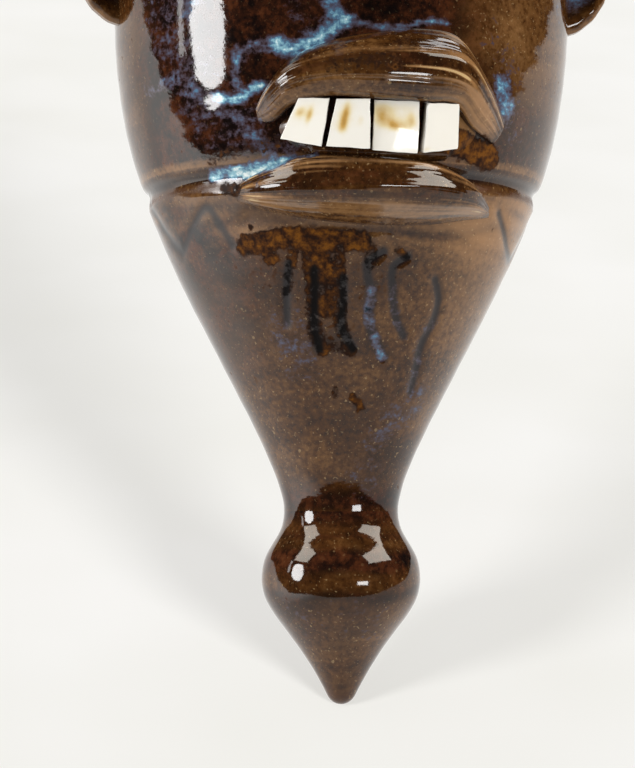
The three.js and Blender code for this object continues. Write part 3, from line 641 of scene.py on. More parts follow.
# The thrown wall
class POCKET_OT_wall(bpy.types.Operator):
    """Throws the hollow wall with its rolled rim, and draws the lines in it"""

    bl_idname = "pocket.wall"
    bl_label = "Thrown wall"

    def execute(self, context):
        wall = context.scene.pocket_sizes.wall / MM
        foot, neck = wall_radius(FLOOR + 5) - wall, wall_radius(WAIST)
        rows = [(0, FLOOR), (foot * 0.6, FLOOR + 0.2), (foot * 0.9, FLOOR + 1.6), (foot, FLOOR + 5)]
        rows += [(wall_radius(h) - wall, h) for h in np.arange(FLOOR + 9, 266, 4.5)]
        rows += rim_arc(180, -52, 22)
        rows += [(wall_radius(h), h) for h in (RIM_FOOT, *np.arange(WAIST, RIM_FOOT, 1.25)[::-1])]
        rows += [(neck - 0.02, WAIST - 0.6), (neck - 0.6, WAIST - 1.6), (0, WAIST - 1.6)]
        bm = turned(rows, 240)
        cut_flat(bm, SLAB_BOX[0].y - 0.05 * MM, 1)
        bmesh.ops.triangle_fill(bm, edges=[e for e in bm.edges if e.is_boundary], use_beauty=True)
        self.refine(bm)
        self.carve(bm)
        made = piece("thrown_wall", bm, "amber_glaze", "front_shell")
        self.glaze(made)
        return {"FINISHED"}

    def zone(self, around, height):
        """Whether a place lies where drawn lines need a finer surface."""
        beard = -26 < around < 27 and 82 < height < 125
        wave = 122 < height < 138 and (-86 < around < -34 or 38 < around < 84)
        crease = 125 < height < 134 and -36 < around < 48
        ring = 139.5 < height < 145.5
        return beard or wave or crease or ring

    def refine(self, bm):
        """Divides the outer faces that carry drawn lines."""
        chosen = set()
        for face in bm.faces:
            x, y, z = face.calc_center_median()
            height = (z - TIP_Z) / MM
            radius = math.hypot(x, y - AXIS_Y) / MM
            if len(face.verts) == 4 and radius > wall_radius(height) - 2:
                if self.zone(math.atan2(x, AXIS_Y - y) * radius, height):
                    chosen.update(face.edges)
        bmesh.ops.subdivide_edges(bm, edges=list(chosen), cuts=2, use_grid_fill=True)

    def carve(self, bm):
        """Presses in the drawn lines and the thrown groove, and lets the wall wander a little."""
        verts = bm.verts[:]
        at = unrolled(verts)
        outer = (at[:, 2] > -1) & (at[:, 1] < RIM_FOOT) & (at[:, 1] > WAIST + 1)
        verts = [verts[i] for i in np.flatnonzero(outer)]
        places = at[outer][:, :2]
        around, height = places.T
        push = 0.03 * np.sin(height / 1.3 + 0.02 * around)
        for path, depth, width in (*WAVES, *BEARD, CHIN_CREASE):
            away = distance(places, path)
            push -= depth * (bell(away, 0, width) - 0.12 * bell(away, 2.2 * width, 0.8 * width))
        groove, depth, width = THROWN_GROOVE
        push -= depth * bell(height, groove, width)
        push += ease(WAIST + 1, WAIST + 12, height) * [
            0.16 * lumps(v.co, 26) + 0.08 * lumps(v.co, 13, 4.0) for v in verts]
        for vert, out in zip(verts, push):
            push_out(vert, out)

    def glaze(self, made):
        """Paints where the glaze is thick, thin, pooled in cuts and gone, and paints shade on the cone's
        left side and under the lower lip.
        """
        at = unrolled(made.data.vertices)
        around, height, out = at.T
        inside = (out < -2) & (height < 265)
        incised = np.zeros(len(at))
        # The chin crease is painted dark partly as glaze pooled in it and partly as painted shade under
        # the lower lip
        for paths, strength in ((WAVES, 0.85), (BEARD, 1.0), ((CHIN_CREASE,), 0.42)):
            for path, _, width in paths:
                incised = np.maximum(incised, strength * bell(distance(at[:, :2], path), 0, width))
        groove, _, width = THROWN_GROOVE
        incised = np.maximum(incised, 0.74 * bell(height, groove, width))
        # Thick above the ring, most of all in front; thinner to the right, above the mouth still more
        front = ease(-82, -56, around) * ease(-75, -45, -around)
        thick = ease(143, 149, height) * (0.2 + front * (0.75 - 0.55 * ease(8, 40, around)))
        thick -= 0.22 * ease(10, 28, around) * ease(160, 174, height)
        # The cone's left side is painted darker: painted shade that holds back the left softbox's light.
        # Its neck is darker too
        thick += 0.5 * ease(-14, -40, around) * ease(80, 96, height) * (1 - ease(132, 140, height))
        thick += 0.85 * bell(height, 57, 4) + 0.12 * ease(80, 120, height)
        # Thin over the rim, the ring's upper edge and the cone's right side
        thin = 0.8 * ease(272, 276, height) + 0.75 * bell(height, 145.8, 0.9)
        right = ease(-8, 42, around) * (1 - ease(90, 140, around))
        thin += 0.5 * ease(60, 120, height) * (1 - ease(136, 142, height)) * right
        # Level streaks left by the wet sponge under the lower lip
        wiped = ease(118, 130, height) * (1 - ease(136, 142, height))
        streak = ripples(around, height, 0.045, 0.32, 2.0)
        thin += wiped * (0.25 + 0.6 * streak)
        thick += 0.4 * wiped * ease(-0.1, -0.5, streak)
        # A paler place above the right end of the upper lip
        thin += 0.35 * bell(around, 42, 10) * bell(height, 178, 16)
        # Dry on the shoulder under the groove, where the glaze ran off
        paint(made, incised=np.where(inside, 0, incised),
              thick=np.where(inside, 0.2, thick * (1 - 0.6 * ease(262, 272, height))),
              thin=np.where(inside, 0.1, thin),
              dry=np.where(inside, 0, 0.62 * bell(height, groove - 2.9, 2.3)))
        paint_runs(made)


class POCKET_OT_bulb(bpy.types.Operator):
    """Turns the bulb below the waist, dry at its tip"""

    bl_idname = "pocket.bulb"
    bl_label = "Bulb finial"

    def execute(self, context):
        neck = wall_radius(WAIST)
        rows = [(r, h) for r, h in PROFILE if h <= WAIST][::2]
        rows += [(neck, WAIST), (neck - 0.02, WAIST + 0.6), (neck - 0.6, WAIST + 1.6), (0, WAIST + 1.6)]
        bm = turned(rows, 160)
        for v in bm.verts:
            height = (v.co.z - TIP_Z) / MM
            if 1 < height < WAIST - 4:
                push_out(v, 0.12 * lumps(v.co, 14, 3.0) + 0.02 * math.sin(height / 0.9))
        made = piece("bulb_finial", bm, "amber_glaze", "finial")
        around, height, _ = unrolled(made.data.vertices).T
        # Throwing bands: dark at the neck and under the middle, amber between, dull below
        band = height + 1.6 * ripples(around, height, 0.06, 0.1, 5)
        ring = ripples(around, height, 0.03, 0.5, 8)
        paint(made,
              thick=0.28 + sum(k * bell(band, h, w) for h, w, k in (
                  (55, 3.5, 0.66), (40.5, 2.4, 0.85), (47, 0.8, 0.3), (31, 1.6, 0.4))),
              thin=(0.32 * ease(12, 30, around) * bell(height, 38, 5)
                    + 0.5 * ring * (1 - ease(28, 32, height))),
              dry=0.5 * (1 - ease(2, 16, height)) + 0.3 * ring * (1 - ease(16, 20, height)))
        paint_runs(made, 0.26 * ease(15, 20, height) * (1 - ease(29, 33, height)))
        return {"FINISHED"}


class POCKET_OT_slab(bpy.types.Operator):
    """Cuts the flat slab that closes the back, with its hanging hole"""

    bl_idname = "pocket.slab"
    bl_label = "Slab back"

    def execute(self, context):
        sizes = context.scene.pocket_sizes
        front, back = SLAB_BOX[0].y, SLAB_BOX[1].y
        rows = [(0, WAIST)] + [(wall_radius(h), h) for h in np.arange(WAIST, RIM_FOOT, 1.5)]
        rows += rim_arc(-52, 90, 14) + [(0, ROLL_CENTRE[1] + ROLL_RADIUS)]
        bm = turned(rows, 240)
        cut_flat(bm, front, -1)
        cut_flat(bm, back, 1)
        flat = {}
        for y in (front, back):
            rim = [e for e in bm.edges if e.is_boundary and all(abs(v.co.y - y) < 1e-6 for v in e.verts)]
            turn = Matrix.Translation((0, y, 0)) @ Matrix.Rotation(math.pi / 2, 4, "X")
            ring = bmesh.ops.create_circle(bm, cap_ends=False, segments=48, radius=sizes.hole / 2,
                                           matrix=turn)["verts"]
            hole = list({e for v in ring for e in v.link_edges})
            flat[y] = (rim, hole)
            bmesh.ops.triangle_fill(bm, edges=rim + hole, use_beauty=True)
        bmesh.ops.bridge_loops(bm, edges=flat[front][1] + flat[back][1])
        bmesh.ops.bevel(bm, geom=flat[back][0] + flat[back][1], offset=sizes.slab_edge, segments=3,
                        profile=0.5, affect="EDGES", material=-1, clamp_overlap=True)
        made = piece("slab_back", bm, "amber_glaze", "back_plate")
        depth = np.array([v.co.y for v in made.data.vertices]) / MM
        paint(made, dry=0.72 * ease(-3.5, -0.5, depth), thin=0.6 * bell(depth, -1.5, 1.4))
        return {"FINISHED"}


def lip_section(guides, share, rise, overhang, turn):
    """A point of a lip's section as (around, up, out): turn goes from the far edge over the crest
    to the mouth edge and back inside the wall."""
    far, crest, near = (spline(g, share) for g in guides[:3])
    top, side = (spline(guides[3], share).x * tall for tall in (rise, overhang))
    crest_at, tucked_at, foot, deep = 0.45, 0.9, -0.16, 2.2
    if turn < crest_at:
        f = foot + (1 - foot) * turn / crest_at
        place = far.lerp(crest, f)
        dome = 1 - (1 - max(f, 0)) ** (2.3 if overhang else 1.9)
        ridge = 0.45 * float(bell(f, 0.6, 0.09)) * min(1.0, top / 6)
        out = top * dome + ridge - 0.9 * float(1 - ease(foot, 0.06, f))
    elif turn < SHOWN:
        f = math.sin((turn - crest_at) / (SHOWN - crest_at) * math.pi / 2)
        place = crest.lerp(near, f)
        dome = math.sqrt(max(0.0, 1 - f * f))
        out = side + (top - side) * dome if overhang else top * dome - 0.9 * (1 - dome) ** 3
    elif turn < tucked_at:
        f = (turn - SHOWN) / (tucked_at - SHOWN)
        place = near.lerp(crest, 0.3 * f * f)
        out = side * (1 - f) - deep * f
    else:
        f = (turn - tucked_at) / (1 - tucked_at)
        place = near.lerp(crest, 0.3).lerp(far.lerp(crest, foot), f)
        out = -deep + 1.3 * f
    return place.x, place.y, out


class POCKET_OT_lips(bpy.types.Operator):
    """Lays the two lips over the wall"""

    bl_idname = "pocket.lips"
    bl_label = "Lips"

    def execute(self, context):
        sizes = context.scene.pocket_sizes
        # How thin the glaze has run round each section, from the far edge to the mouth edge. The paler
        # tones on each lip's downward-facing side are partly painted reflection of the pale paper below
        tones = (((0, 0.1, 0.18, 0.26, 0.31, 0.37, 0.43, 0.5, 0.58, 0.68, 0.76, 0.8, 1),
                  (-0.3, -0.1, -0.2, 0.24, -0.2, -0.3, 0.0, 0.28, 0.2, 0.36, 0.16, -0.2, -0.2)),
                 ((0, 0.1, 0.2, 0.28, 0.34, 0.42, 0.52, 0.6, 0.66, 0.72, 0.8, 0.84, 1),
                  (0.1, 0.35, 0.62, 0.45, 0.1, -0.25, -0.3, 0.0, 0.35, -0.1, -0.2, -0.2, -0.2)))
        self.lip("upper_lip", UPPER_LIP, sizes.upper_rise / MM, 4.5, 1.0, tones[0])
        self.lip("lower_lip", LOWER_LIP, sizes.lower_rise / MM, 0.0, 7.0, tones[1])
        return {"FINISHED"}

    def lip(self, name, guides, rise, overhang, seed, tone):
        """A roll of clay laid over the wall along its guides, dragged smooth by a wet finger."""

        def place(share, turn):
            around, up, out = lip_section(guides, share, rise, overhang, turn)
            here = on_wall(around, MOUTH + up)
            if turn < SHOWN and out > 0.3:
                shown = min(1.0, out / 2.5)
                out += shown * (0.3 * lumps(here, 11, seed) - 0.25)
                out += shown * 0.06 * math.sin(60 * turn + 2.5 * lumps(here, 22, seed + 5))
                out += shown * 0.07 * noise.noise(Vector((share * 5, turn * 55, seed)))
            return on_wall(around, MOUTH + up, out)

        made, share, turn, _, _, out = lay(f"{name}_roll", name, 150, 150, place)
        upper = name == "upper_lip"
        # Streaks that follow the finger along the lip
        streak = ripples(share, turn, 3.2, 24, seed) + ripples(share, turn, 6, 60, seed + 9) * (
            0.3 + 0.9 * ripples(share, turn, 7, 9, seed + 3))
        lifted = ease(0.4, 3.0, out)
        right = ease(0.6, 0.86, share) * (1 - 0.7 * ease(0.9, 0.99, share)) * (turn < SHOWN)
        calm = 1 - 0.5 * ease(0.45, 0.52, turn) * upper
        tone = np.interp(turn, *tone)
        thin = (tone + 0.6 * calm * streak) * lifted + (0.6 if upper else 0.45) * right
        if upper:
            # Pale strokes beside the crest, and the left end where the glaze has run off
            strokes = ease(0.5, 0.62, share) * (1 - ease(0.72, 0.8, share)) * ease(0.28, 0.34, turn)
            thin += 1.6 * strokes * (1 - ease(0.42, 0.48, turn)) * ease(0.1, 0.5, streak)
            thin += (0.7 + 0.8 * streak) * (1 - ease(0.05, 0.2, share)) * (1 - ease(0.3, 0.45, turn))
        else:
            thin += (0.6 + 0.6 * streak) * (1 - ease(0.08, 0.3, share)) * lifted
            thin += (0.5 + 0.9 * streak) * (1 - ease(0.28, 0.5, share)) * ease(0.5, 0.56, turn) * lifted
        # Pale lines where the glaze has run off the lip's right edge and over its ridge
        line, ridge = (0.09, 0.27) if upper else (0.755, 0.66)
        thin += 1.0 * ease(0.62, 0.8, share) * bell(turn, line, 0.014)
        thin += 0.8 * ease(0.42, 0.62, share) * (0.6 + streak) * bell(turn, ridge, 0.025)
        edge = 0.8 if upper else 0.8 * (turn > 0.3)
        paint(made, thin=thin,
              thick=0.5 * ease(0.1, -0.35, tone + 0.5 * calm * streak) * (1 - right),
              incised=edge * (1 - ease(0.0, 1.4, out)) * (1 - 0.8 * right))
        paint_runs(made)


class POCKET_OT_teeth(bpy.types.Operator):
    """Presses the gum behind the mouth and sets four tiles on it"""

    bl_idname = "pocket.teeth"
    bl_label = "Gum and tile teeth"
    # Thickness of the gum, and the steps along each edge of a tile's grid
    GUM = 1.8
    CELLS = 26

    def execute(self, context):
        sizes = context.scene.pocket_sizes
        self.gum()
        for number, (corners, stains) in enumerate(TILES, 1):
            self.tile(number, corners, stains, sizes.tile_edge)
        return {"FINISHED"}

    def gum(self):
        """The pad of clay that the tiles sit on."""
        width, tall, middle, deep = 31.0, 9.5, 3.0, 1.2

        def place(share, turn):
            s = 2 * share - 1
            bend = 0.35 + 0.65 * math.sqrt(max(0.0, 1 - s * s))
            if turn < SHOWN:
                v = 1 - 2 * turn / SHOWN
                away = math.hypot(v * 0.8, s) if abs(s) > 0.6 else abs(v)
                out = -deep + (self.GUM + deep) * float(ease(1.0, 0.7, away))
            else:
                v = -1 + 2 * (turn - SHOWN) / (1 - SHOWN)
                out = -deep - 0.8 * (1 - v * v)
            return on_wall(middle + s * width, MOUTH + v * tall * bend, out)

        made, _, _, around, height, _ = lay("gum_pad", "mouth_gum", 90, 60, place, "dark_glaze")
        # Flesh beside the first and the last tooth, amber below them, dark between
        flesh = 0.3 * ease(-19, -23, around) + 0.7 * ease(21, 23, around) * ease(MOUTH - 3, MOUTH, height)
        between = ease(-23, -19, around) * (1 - ease(20, 23, around))
        between *= ease(MOUTH - 6, MOUTH - 3.5, height)
        paint(made, thin=flesh + 0.12 * ease(20, 24, around),
              thick=0.9 * between + 0.25 * (1 - between) * (1 - flesh),
              dry=0.7 * ease(-20, -23, around))
        paint_runs(made)

    def spread(self, share):
        """Leaves the outermost row of a tile's grid wide enough for the rounding of its edge."""
        if abs(share - 0.5) > 0.499:
            return round(share)
        return 0.06 + 0.88 * (share - 1 / self.CELLS) / (1 - 2 / self.CELLS)

    def tile(self, number, corners, stains, edge):
        """One broken tile, set square to the wall at its own middle."""
        seam, thick, tuck = 0.3, 3.0, 0.8
        middle = Vector(np.mean(corners, axis=0))
        outline = [Vector((x, y + tuck if y > 0 else y)) - middle for x, y in corners]
        reach = max(abs(c.x) for c in outline)
        seat = self.GUM + seam + reach * reach / (2 * wall_radius(MOUTH))
        bm = bmesh.new()
        bmesh.ops.create_grid(bm, x_segments=self.CELLS, y_segments=self.CELLS, size=1)
        stain = bm.verts.layers.float.new("stain")
        bare = bm.verts.layers.float.new("bare")
        for v in bm.verts:
            s, t = (self.spread((c + 1) / 2) for c in v.co.xy)
            top, low = outline[0].lerp(outline[1], s), outline[3].lerp(outline[2], s)
            spot = low.lerp(top, t)
            # A snapped tile's edge wanders by a fraction of a millimetre
            wander = Vector((noise.noise(Vector((number, t * 3, s > 0.5))),
                             noise.noise(Vector((s * 3, number, t > 0.5))))) * 0.16
            spot += wander * (1 if min(s, 1 - s, t, 1 - t) < 0.01 else 0.6)
            v.co = (spot.x, spot.y, seat + thick + 0.06 * noise.noise(Vector((s * 2, t * 2, number))))
            if number == 3:
                # The third tile is domed
                v.co.z -= 1.6 * (s - 0.64) ** 2 + 1.4 * (t - 0.01) ** 2
            tint = sum(k * math.exp(-((s - a) / w) ** 2 - ((t - b) / h) ** 2) for a, b, w, h, k in stains)
            tint += 0.1 * max(0.0, noise.noise(Vector((s * 2.2, t * 2.2, 4.0 * number))))
            v[stain] = min(1.0, tint)
        for g in bmesh.ops.extrude_face_region(bm, geom=bm.faces[:])["geom"]:
            if isinstance(g, bmesh.types.BMVert):
                g.co.z = seat
        sharp = [e for e in bm.edges if len(e.link_faces) == 2 and e.calc_face_angle(0) > 0.8
                 and all(v.co.z > seat + 1 for v in e.verts)]
        bmesh.ops.bevel(bm, geom=sharp, offset=edge / MM, segments=3, profile=0.5, affect="EDGES",
                        material=-1)
        for v in bm.verts:
            v[bare] = float(v.co.z < seat + 0.1)
        place = wall_frame(middle.x, MOUTH + middle.y) @ Matrix.Scale(MM, 4)
        bmesh.ops.transform(bm, matrix=place, verts=bm.verts)
        piece(f"tile_tooth_{number}", bm, "tile_glaze", f"tooth_{number}")


class POCKET_OT_nose(bpy.types.Operator):
    """Models the nose as a wedge of clay with two pressed nostrils"""

    bl_idname = "pocket.nose"
    bl_label = "Nose"

    def execute(self, context):
        base = MOUTH + 34
        length, half, rise, shown = 36.0, 13.5, 20.7, 0.85
        ups = (1.04, 0.82, 0.55, 0.28, 0.1, -0.01)
        widths = (0.3, 0.38, 0.5, 0.8, 1, 0.72)
        rises = (0.1, 0.38, 0.64, 0.92, 1, 0.5)
        nostrils = [Vector((s * 5.5, -0.4, 13.0)) for s in (-1, 1)]

        def place(share, turn):
            up = spline(ups, share).x * length
            wide, tall = spline(widths, share).x * half, spline(rises, share).x * rise
            if turn < shown:
                angle = math.pi * (turn / shown)
                x = -wide * math.cos(angle)
                lift = math.sin(angle)
                # A ridge in the middle and round wings at the base
                ridge = tall * (0.62 * lift + 0.38 * lift ** 4)
                wing = 0.22 * rise * bell(up, 4.5, 4.5) * math.sin(2 * angle) ** 2
                out = ridge + wing - 1.2 * (1 - lift) ** 4
                spot = Vector((x, up, out))
                for hole in nostrils:
                    away = (spot - hole).length
                    if up < 3:
                        out -= 3.2 * bell(away, 0, 3.6)
                        up += 2.2 * bell(away, 0, 3.2)
                return on_wall(x, base + up, out)
            back = (turn - shown) / (1 - shown)
            return on_wall(wide * (1 - 2 * back), base + up, -1.2 - 0.8 * math.sin(math.pi * back))

        made, _, _, around, height, out = lay("nose_wedge", "nose", 90, 80, place)
        hollow = np.min([np.linalg.norm([around - n.x, height - base - 1, out - 11], axis=0)
                         for n in nostrils], axis=0)
        paint(made, thin=0.8 * ease(6, 20, out), thick=0.5 * (1 - ease(3, 12, out)),
              incised=np.maximum(0.8 * (1 - ease(0.2, 2.0, out)), 1 - ease(1.5, 3.6, hollow)))
        paint_runs(made)
        return {"FINISHED"}


class POCKET_OT_eyes(bpy.types.Operator):
    """Sets the slip-white eyeballs and lays a lid above and below each"""

    bl_idname = "pocket.eyes"
    bl_label = "Eyes"

    def execute(self, context):
        for word, side in SIDES:
            middle = wall_frame(side * EYES, MOUTH + 63) @ Matrix.Scale(MM, 4)
            self.ball(word, middle)
            self.lid(word, "upper", middle, 12, 168, 3.2)
            self.lid(word, "lower", middle, 192, 348, 2.9)
        return {"FINISHED"}

    def ball(self, word, middle):
        """An eyeball with its pupil pressed in and painted."""
        bm = bmesh.new()
        bmesh.ops.create_uvsphere(bm, u_segments=64, v_segments=48, radius=10)
        pupil = bm.verts.layers.float.new("pupil")
        for v in bm.verts:
            away = math.hypot(v.co.x, v.co.y)
            if v.co.z > 0:
                v.co.z -= 1.6 * (1 - float(ease(1.2, 2.6, away)))
                v[pupil] = 1 - float(ease(2.6, 3.4, away + 0.3 * noise.noise(v.co * 0.8)))
            v.co.z += 1.5
        bmesh.ops.transform(bm, matrix=middle, verts=bm.verts)
        piece(f"eyeball_{word}_ball", bm, "white_slip", f"eyeball_{word}")

    def lid(self, word, which, middle, start, end, thick):
        """A coil of clay round an eyeball between two angles, thin at its ends."""

        def place(share, turn):
            angle = math.radians(start + (end - start) * share)
            size = thick * (0.35 + 0.65 * math.sin(math.pi * share) ** 0.7)
            size *= 1e-3 if share in (0.0, 1.0) else 1
            around = 2 * math.pi * turn
            away = 9.6 + size * math.cos(around) + 0.3 * lumps(Vector((share * 0.02, turn * 0.01, 0)), 4)
            out = 3.0 + 1.4 * size * math.sin(around)
            return middle @ Vector((away * math.cos(angle), away * math.sin(angle), out))

        name = f"eyelid_{which}_{word}"
        made, *_, out = lay(f"{name}_coil", name, 56, 28, place)
        paint(made, thin=0.7 * ease(3, 8, out), incised=0.7 * (1 - ease(0.0, 1.5, out)))
        paint_runs(made)


class POCKET_OT_brows(bpy.types.Operator):
    """Lays the brows and combs them with slanting strokes"""

    bl_idname = "pocket.brows"
    bl_label = "Brows"

    def execute(self, context):
        for word, side in SIDES:
            self.brow(word, side)
        return {"FINISHED"}

    def brow(self, word, side):
        """A flat roll of clay, combed."""
        half, tall, rise = 19.0, 4.5, 6.0
        plump = (0.42, 0.9, 1, 0.8, 0.3)

        def comb(share, turn, width):
            """Strokes of the comb, which slant outwards as hairs do."""
            return bell((17 * share - 1.4 * turn) % 1, 0.5, width)

        def place(share, turn):
            s = 2 * share - 1
            full = spline(plump, share).x
            x, y = side * (EYES + s * half), MOUTH + 78 + 4 * (1 - s * s)
            if turn < SHOWN:
                angle = math.pi * turn / SHOWN
                lift = math.sin(angle)
                out = full * rise * lift - 1.0 * (1 - lift) ** 4
                out -= 0.7 * comb(share, turn, 0.22) * min(1.0, max(0.0, out) / 2)
                return on_wall(x, y + tall * full * math.cos(angle), out)
            v = (turn - SHOWN) / (1 - SHOWN)
            return on_wall(x, y - tall * full * (1 - 2 * v), -1.0 - 0.8 * math.sin(math.pi * v))

        made, share, turn, _, _, out = lay(f"brow_{word}_roll", f"brow_{word}", 170, 44, place)
        strokes = comb(share, turn, 0.2)
        paint(made, incised=np.maximum(0.8 * strokes, 0.8 * (1 - ease(0.2, 1.8, out))),
              thin=0.8 * ease(2, 5, out) * (1 - strokes))
        paint_runs(made)


class POCKET_OT_ears(bpy.types.Operator):
    """Forms the ears as leaves of clay, scooped and rolled at the edge"""

    bl_idname = "pocket.ears"
    bl_label = "Ears"
    # The leaf's outline as (out, up) from its middle, from the lower root round the tip, and how far
    # its middle stands out from the wall
    LEAF = ((-12.5, -18.5), (-7, -20.6), (-2, -19), (2.5, -15.5), (5.4, -11), (7, -6), (8.3, 0), (9.3, 6),
            (9.4, 12), (7.6, 17.5), (3.5, 20.8), (-2, 21.4), (-7, 20.8), (-12.5, 19))
    MIDDLE = 6.0

    def execute(self, context):
        for word, side in SIDES:
            self.ear(word, side)
        return {"FINISHED"}

    def reach(self, angle):
        """How far the leaf reaches from its middle in a direction; both its ends run into the wall."""
        far = 0
        for near, end in zip(self.LEAF, self.LEAF[1:] + self.LEAF[:1]):
            across = near[0] * end[1] - near[1] * end[0]
            edge = math.cos(angle) * (end[1] - near[1]) - math.sin(angle) * (end[0] - near[0])
            if abs(edge) > 1e-9 and across / edge > 0:
                t = (near[0] * math.sin(angle) - near[1] * math.cos(angle)) / edge
                if -1e-6 <= t <= 1 + 1e-6:
                    far = max(far, across / edge)
        return far

    def ear(self, word, side):
        """A leaf of clay that faces a little forward: a ball pressed flat, scooped out in front."""
        turn = math.radians(82)
        out = Vector((math.sin(turn), -math.cos(turn), 0))
        up = Vector((0, 0, 1))
        front = out.cross(up)
        centre_height = MOUTH + 55
        foot = Vector((0, AXIS_Y, TIP_Z + centre_height * MM))
        foot += out * float(wall_radius(centre_height)) * MM
        bm = bmesh.new()
        bmesh.ops.create_uvsphere(bm, u_segments=96, v_segments=64, radius=1)
        bowl = bm.verts.layers.float.new("run")
        rim = bm.verts.layers.float.new("thin")
        crease = bm.verts.layers.float.new("incised")
        for v in bm.verts:
            flat = math.hypot(v.co.x, v.co.y)
            angle = math.atan2(v.co.y, v.co.x)
            reach = self.reach(angle) * min(1.0, flat * 1.02)
            x, y = self.MIDDLE + reach * math.cos(angle), reach * math.sin(angle)
            z = math.copysign(abs(v.co.z) ** 0.75, v.co.z) * 4.0
            if v.co.z > 0:
                scoop = float(ease(0.86, 0.45, flat)) * float(ease(-6, 4, x + 4))
                fold = float(bell(flat, 0.5, 0.1) * ease(-0.2, 0.4, math.sin(angle + 0.4)))
                z -= 4.6 * scoop - 1.3 * fold
                v[bowl] = 0.66 * scoop
                v[crease] = 0.5 * float(ease(0.8, 0.7, flat)) * float(ease(0.55, 0.66, flat))
            v[rim] = 0.6 * float(ease(0.85, 0.97, flat))
            z += 0.35 * noise.noise(Vector((x, y, 0)) * 0.12)
            place = foot + (out * x + up * y + front * z) * MM
            v.co = (side * place.x, place.y, place.z)
        piece(f"ear_{word}_leaf", bm, "amber_glaze", f"ear_{word}")


# The studio
class POCKET_OT_studio(bpy.types.Operator):
    """Puts up the paper sweep, the lamps, the white surround and the camera"""

    bl_idname = "pocket.studio"
    bl_label = "Studio"

    def execute(self, context):
        scene = context.scene
        self.sweep(scene.pocket_studio)
        self.surround(scene)
        # Azimuth from the front to the right, elevation, distance, width, height and radiance
        for name, azimuth, elevation, away, width, height, radiance in (
            ("left softbox", -74.7, 4, 1.0, 0.36, 0.44, 13.5),
            ("left strip", -91.5, 11, 1.0, 0.06, 0.3, 5),
            ("left upper panel", -76, 35, 1.1, 0.5, 0.5, 7.4),
            ("right lamp", 24, -13, 1.0, 0.3, 0.16, 17),
            ("right upper panel", 58, 34, 1.1, 0.8, 0.45, 7.4),
            ("overhead panel", 150, 66, 1.2, 1.0, 0.8, 5),
            ("right fill", 58, 4, 1.0, 0.7, 0.7, 1.3),
        ):
            lamp = self.lamp(scene, name, "AREA", azimuth, elevation, away,
                             radiance * math.pi * width * height)
            lamp.data.shape = "ELLIPSE" if name == "left softbox" else "RECTANGLE"
            lamp.data.size, lamp.data.size_y = width, height
            lamp.visible_camera = False
            lamp.visible_glossy = name != "right fill"
            if "upper" in name:
                lamp.data.color = linear("#FFF6E8")[:3]
        self.paper_light(scene)
        self.camera(scene)
        scene.view_settings.view_transform = "Standard"
        return {"FINISHED"}

    def lamp(self, scene, name, kind, azimuth, elevation, away, energy):
        """Adds a lamp that shines at the pocket's middle from a direction."""
        a, e = math.radians(azimuth), math.radians(elevation)
        way = Vector((math.sin(a) * math.cos(e), -math.cos(a) * math.cos(e), math.sin(e)))
        lamp = bpy.data.objects.new(name, bpy.data.lights.new(name, kind))
        lamp.data.energy = energy * scene.pocket_studio.light
        lamp.location = Vector((0, AXIS_Y, TIP_Z + 0.14)) + way * away
        lamp.rotation_euler = (-way).to_track_quat("-Z", "Y").to_euler()
        scene.collection.objects.link(lamp)
        return lamp

    def paper_light(self, scene):
        """Lights the paper by itself: two soft keys throw the pocket's shadow up it to both sides."""
        paper = bpy.data.objects["paper_sweep"]
        others, alone = (bpy.data.collections.new(name) for name in ("all but the paper", "the paper"))
        for group in (others, alone):
            group.objects.link(paper)
        others.collection_objects[0].light_linking.link_state = "EXCLUDE"
        for lamp in [o for o in scene.objects if o.type == "LIGHT"]:
            lamp.light_linking.receiver_collection = others
        for name, azimuth, elevation, strength in (("paper key left", -50, 9, 2.5),
                                                   ("paper key right", 21, -2, 3.7)):
            lamp = self.lamp(scene, name, "SUN", azimuth, elevation, 1.0, strength)
            lamp.data.angle = math.radians(16)
            lamp.visible_glossy = False
            lamp.light_linking.receiver_collection = alone

    def sweep(self, studio):
        """Pale paper under the tip that climbs behind the pocket; its underside doesn't show, so
        that the pocket's back can be seen."""
        half_width, half_depth, right, behind, under = 0.5, 0.7, 0.09, 0.3, 0.0003
        bm = bmesh.new()
        bmesh.ops.create_grid(bm, x_segments=24, y_segments=40, size=1)
        for v in bm.verts:
            y = behind + half_depth * v.co.y
            v.co = (right + half_width * v.co.x, AXIS_Y + y, TIP_Z - under + math.tan(studio.tilt) * y)
        made = smooth_object("paper_sweep", bm, "matt white background paper", background_paper)
        made.visible_glossy = False

    def surround(self, scene):
        """White to the camera; in the glaze, white behind the pocket and dim before it."""
        scene.world = bpy.data.worlds.new("studio surround")
        scene.world.use_nodes = True
        tree = scene.world.node_tree
        tree.nodes.clear()
        way = add(tree, "TexCoord", out="Generated")
        x, y, z = add(tree, "SeparateXYZ", (way,)).node.outputs
        # The paper as the glaze mirrors it: below a slanting edge that turns steeper to the left,
        # brighter behind than before and brightest beside the left softbox
        edge = add(tree, "VectorMath DOT_PRODUCT", (way, (0.06, 0.53, -1.0)), out="Value")
        left, raised, level, before, high = (add(tree, "MapRange", values) for values in (
            (x, -0.6, -0.85), (z, -0.44, -0.32), (y, -0.5, 0.4, 0.72, 1.0), (y, 0.7, -0.1, 0.0, 2.1),
            (z, -0.6, -0.3, 0.12, 1.0)))
        bent = add(tree, "Math MULTIPLY_ADD", (y, 0.5, -0.18))
        bent = add(tree, "Math MULTIPLY", (bent, raised))
        slant = add(tree, "Math MULTIPLY_ADD", (left, bent, edge))
        paper = add(tree, "MapRange", (slant, 0.135, 0.158), **SMOOTH)
        before = add(tree, "Math MULTIPLY", (before, high))
        level = add(tree, "Math MULTIPLY_ADD", (left, before, level))
        behind = add(tree, "Math MULTIPLY_ADD", (paper, level, 0.02))
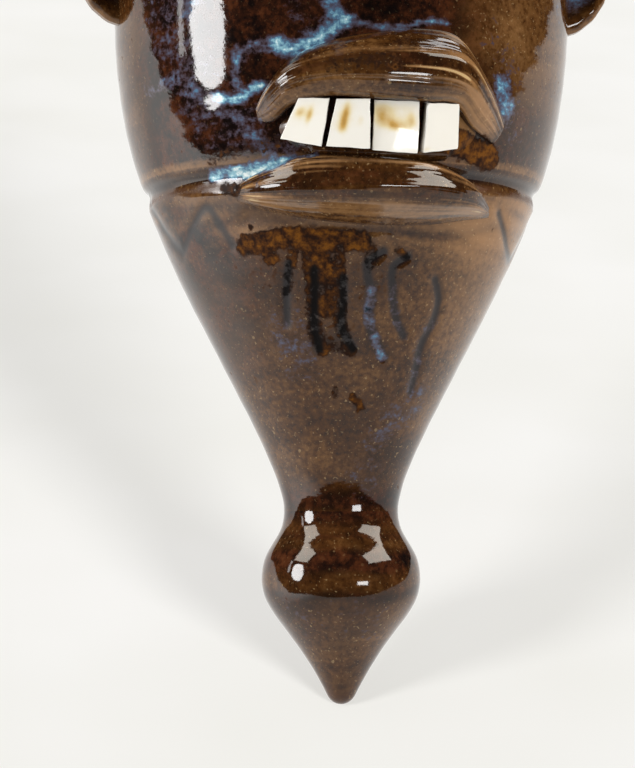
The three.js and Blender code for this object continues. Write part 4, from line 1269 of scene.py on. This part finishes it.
        # What each kind of ray sees
        rays = add(tree, "LightPath").node.outputs
        total = 0.0
        for ray, strength in (("Camera", 0.92), ("Glossy", behind), ("Transmission", 0.92),
                              ("Diffuse", 0.25)):
            total = add(tree, "Math MULTIPLY_ADD", (rays[f"Is {ray} Ray"], strength, total))
        sky = add(tree, "Background", (linear("#FCFBF8"), total))
        add(tree, "OutputWorld", (sky,))

    def camera(self, scene):
        """The photo's view, from a little to the left and looking slightly up."""
        turn, away = math.radians(-7.6), 0.65
        right = Vector((math.cos(turn), math.sin(turn), 0))
        data = bpy.data.cameras.new("camera")
        data.lens = 108.4
        data.clip_end = 20
        camera = bpy.data.objects.new("camera", data)
        camera.location = (away * math.sin(turn), AXIS_Y - away * math.cos(turn), TIP_Z + 0.06)
        aim = Vector((0, AXIS_Y, TIP_Z + 0.0896)) - right * 0.0066
        camera.rotation_euler = (aim - camera.location).to_track_quat("-Z", "Y").to_euler()
        scene.collection.objects.link(camera)
        scene.camera = camera


STEPS = (POCKET_OT_wall, POCKET_OT_bulb, POCKET_OT_slab, POCKET_OT_lips, POCKET_OT_teeth,
         POCKET_OT_nose, POCKET_OT_eyes, POCKET_OT_brows, POCKET_OT_ears, POCKET_OT_studio)


class POCKET_PT_panel(bpy.types.Panel):
    """Sizes, glazes and steps of the wall pocket"""

    bl_label = "Face wall pocket"
    bl_idname = "POCKET_PT_panel"
    bl_space_type = "VIEW_3D"
    bl_region_type = "UI"
    bl_category = "Pocket"

    def draw(self, context):
        for group in GROUPS:
            settings = getattr(context.scene, group)
            box = self.layout.box()
            for name in settings.__annotations__:
                box.prop(settings, name)
        for step in STEPS:
            self.layout.operator(step.bl_idname)


GROUPS = {"pocket_sizes": PocketSizes, "pocket_glazes": PocketGlazes, "pocket_studio": PocketStudio}


def register():
    for name, group in GROUPS.items():
        bpy.utils.register_class(group)
        setattr(bpy.types.Scene, name, PointerProperty(type=group))
    for part in (*STEPS, POCKET_PT_panel):
        bpy.utils.register_class(part)


def unregister():
    for part in (POCKET_PT_panel, *reversed(STEPS)):
        bpy.utils.unregister_class(part)
    for name, group in reversed(GROUPS.items()):
        delattr(bpy.types.Scene, name)
        bpy.utils.unregister_class(group)


def main():
    register()
    for step in STEPS:
        category, name = step.bl_idname.split(".")
        getattr(getattr(bpy.ops, category), name)()


if __name__ == "__main__":
    main()
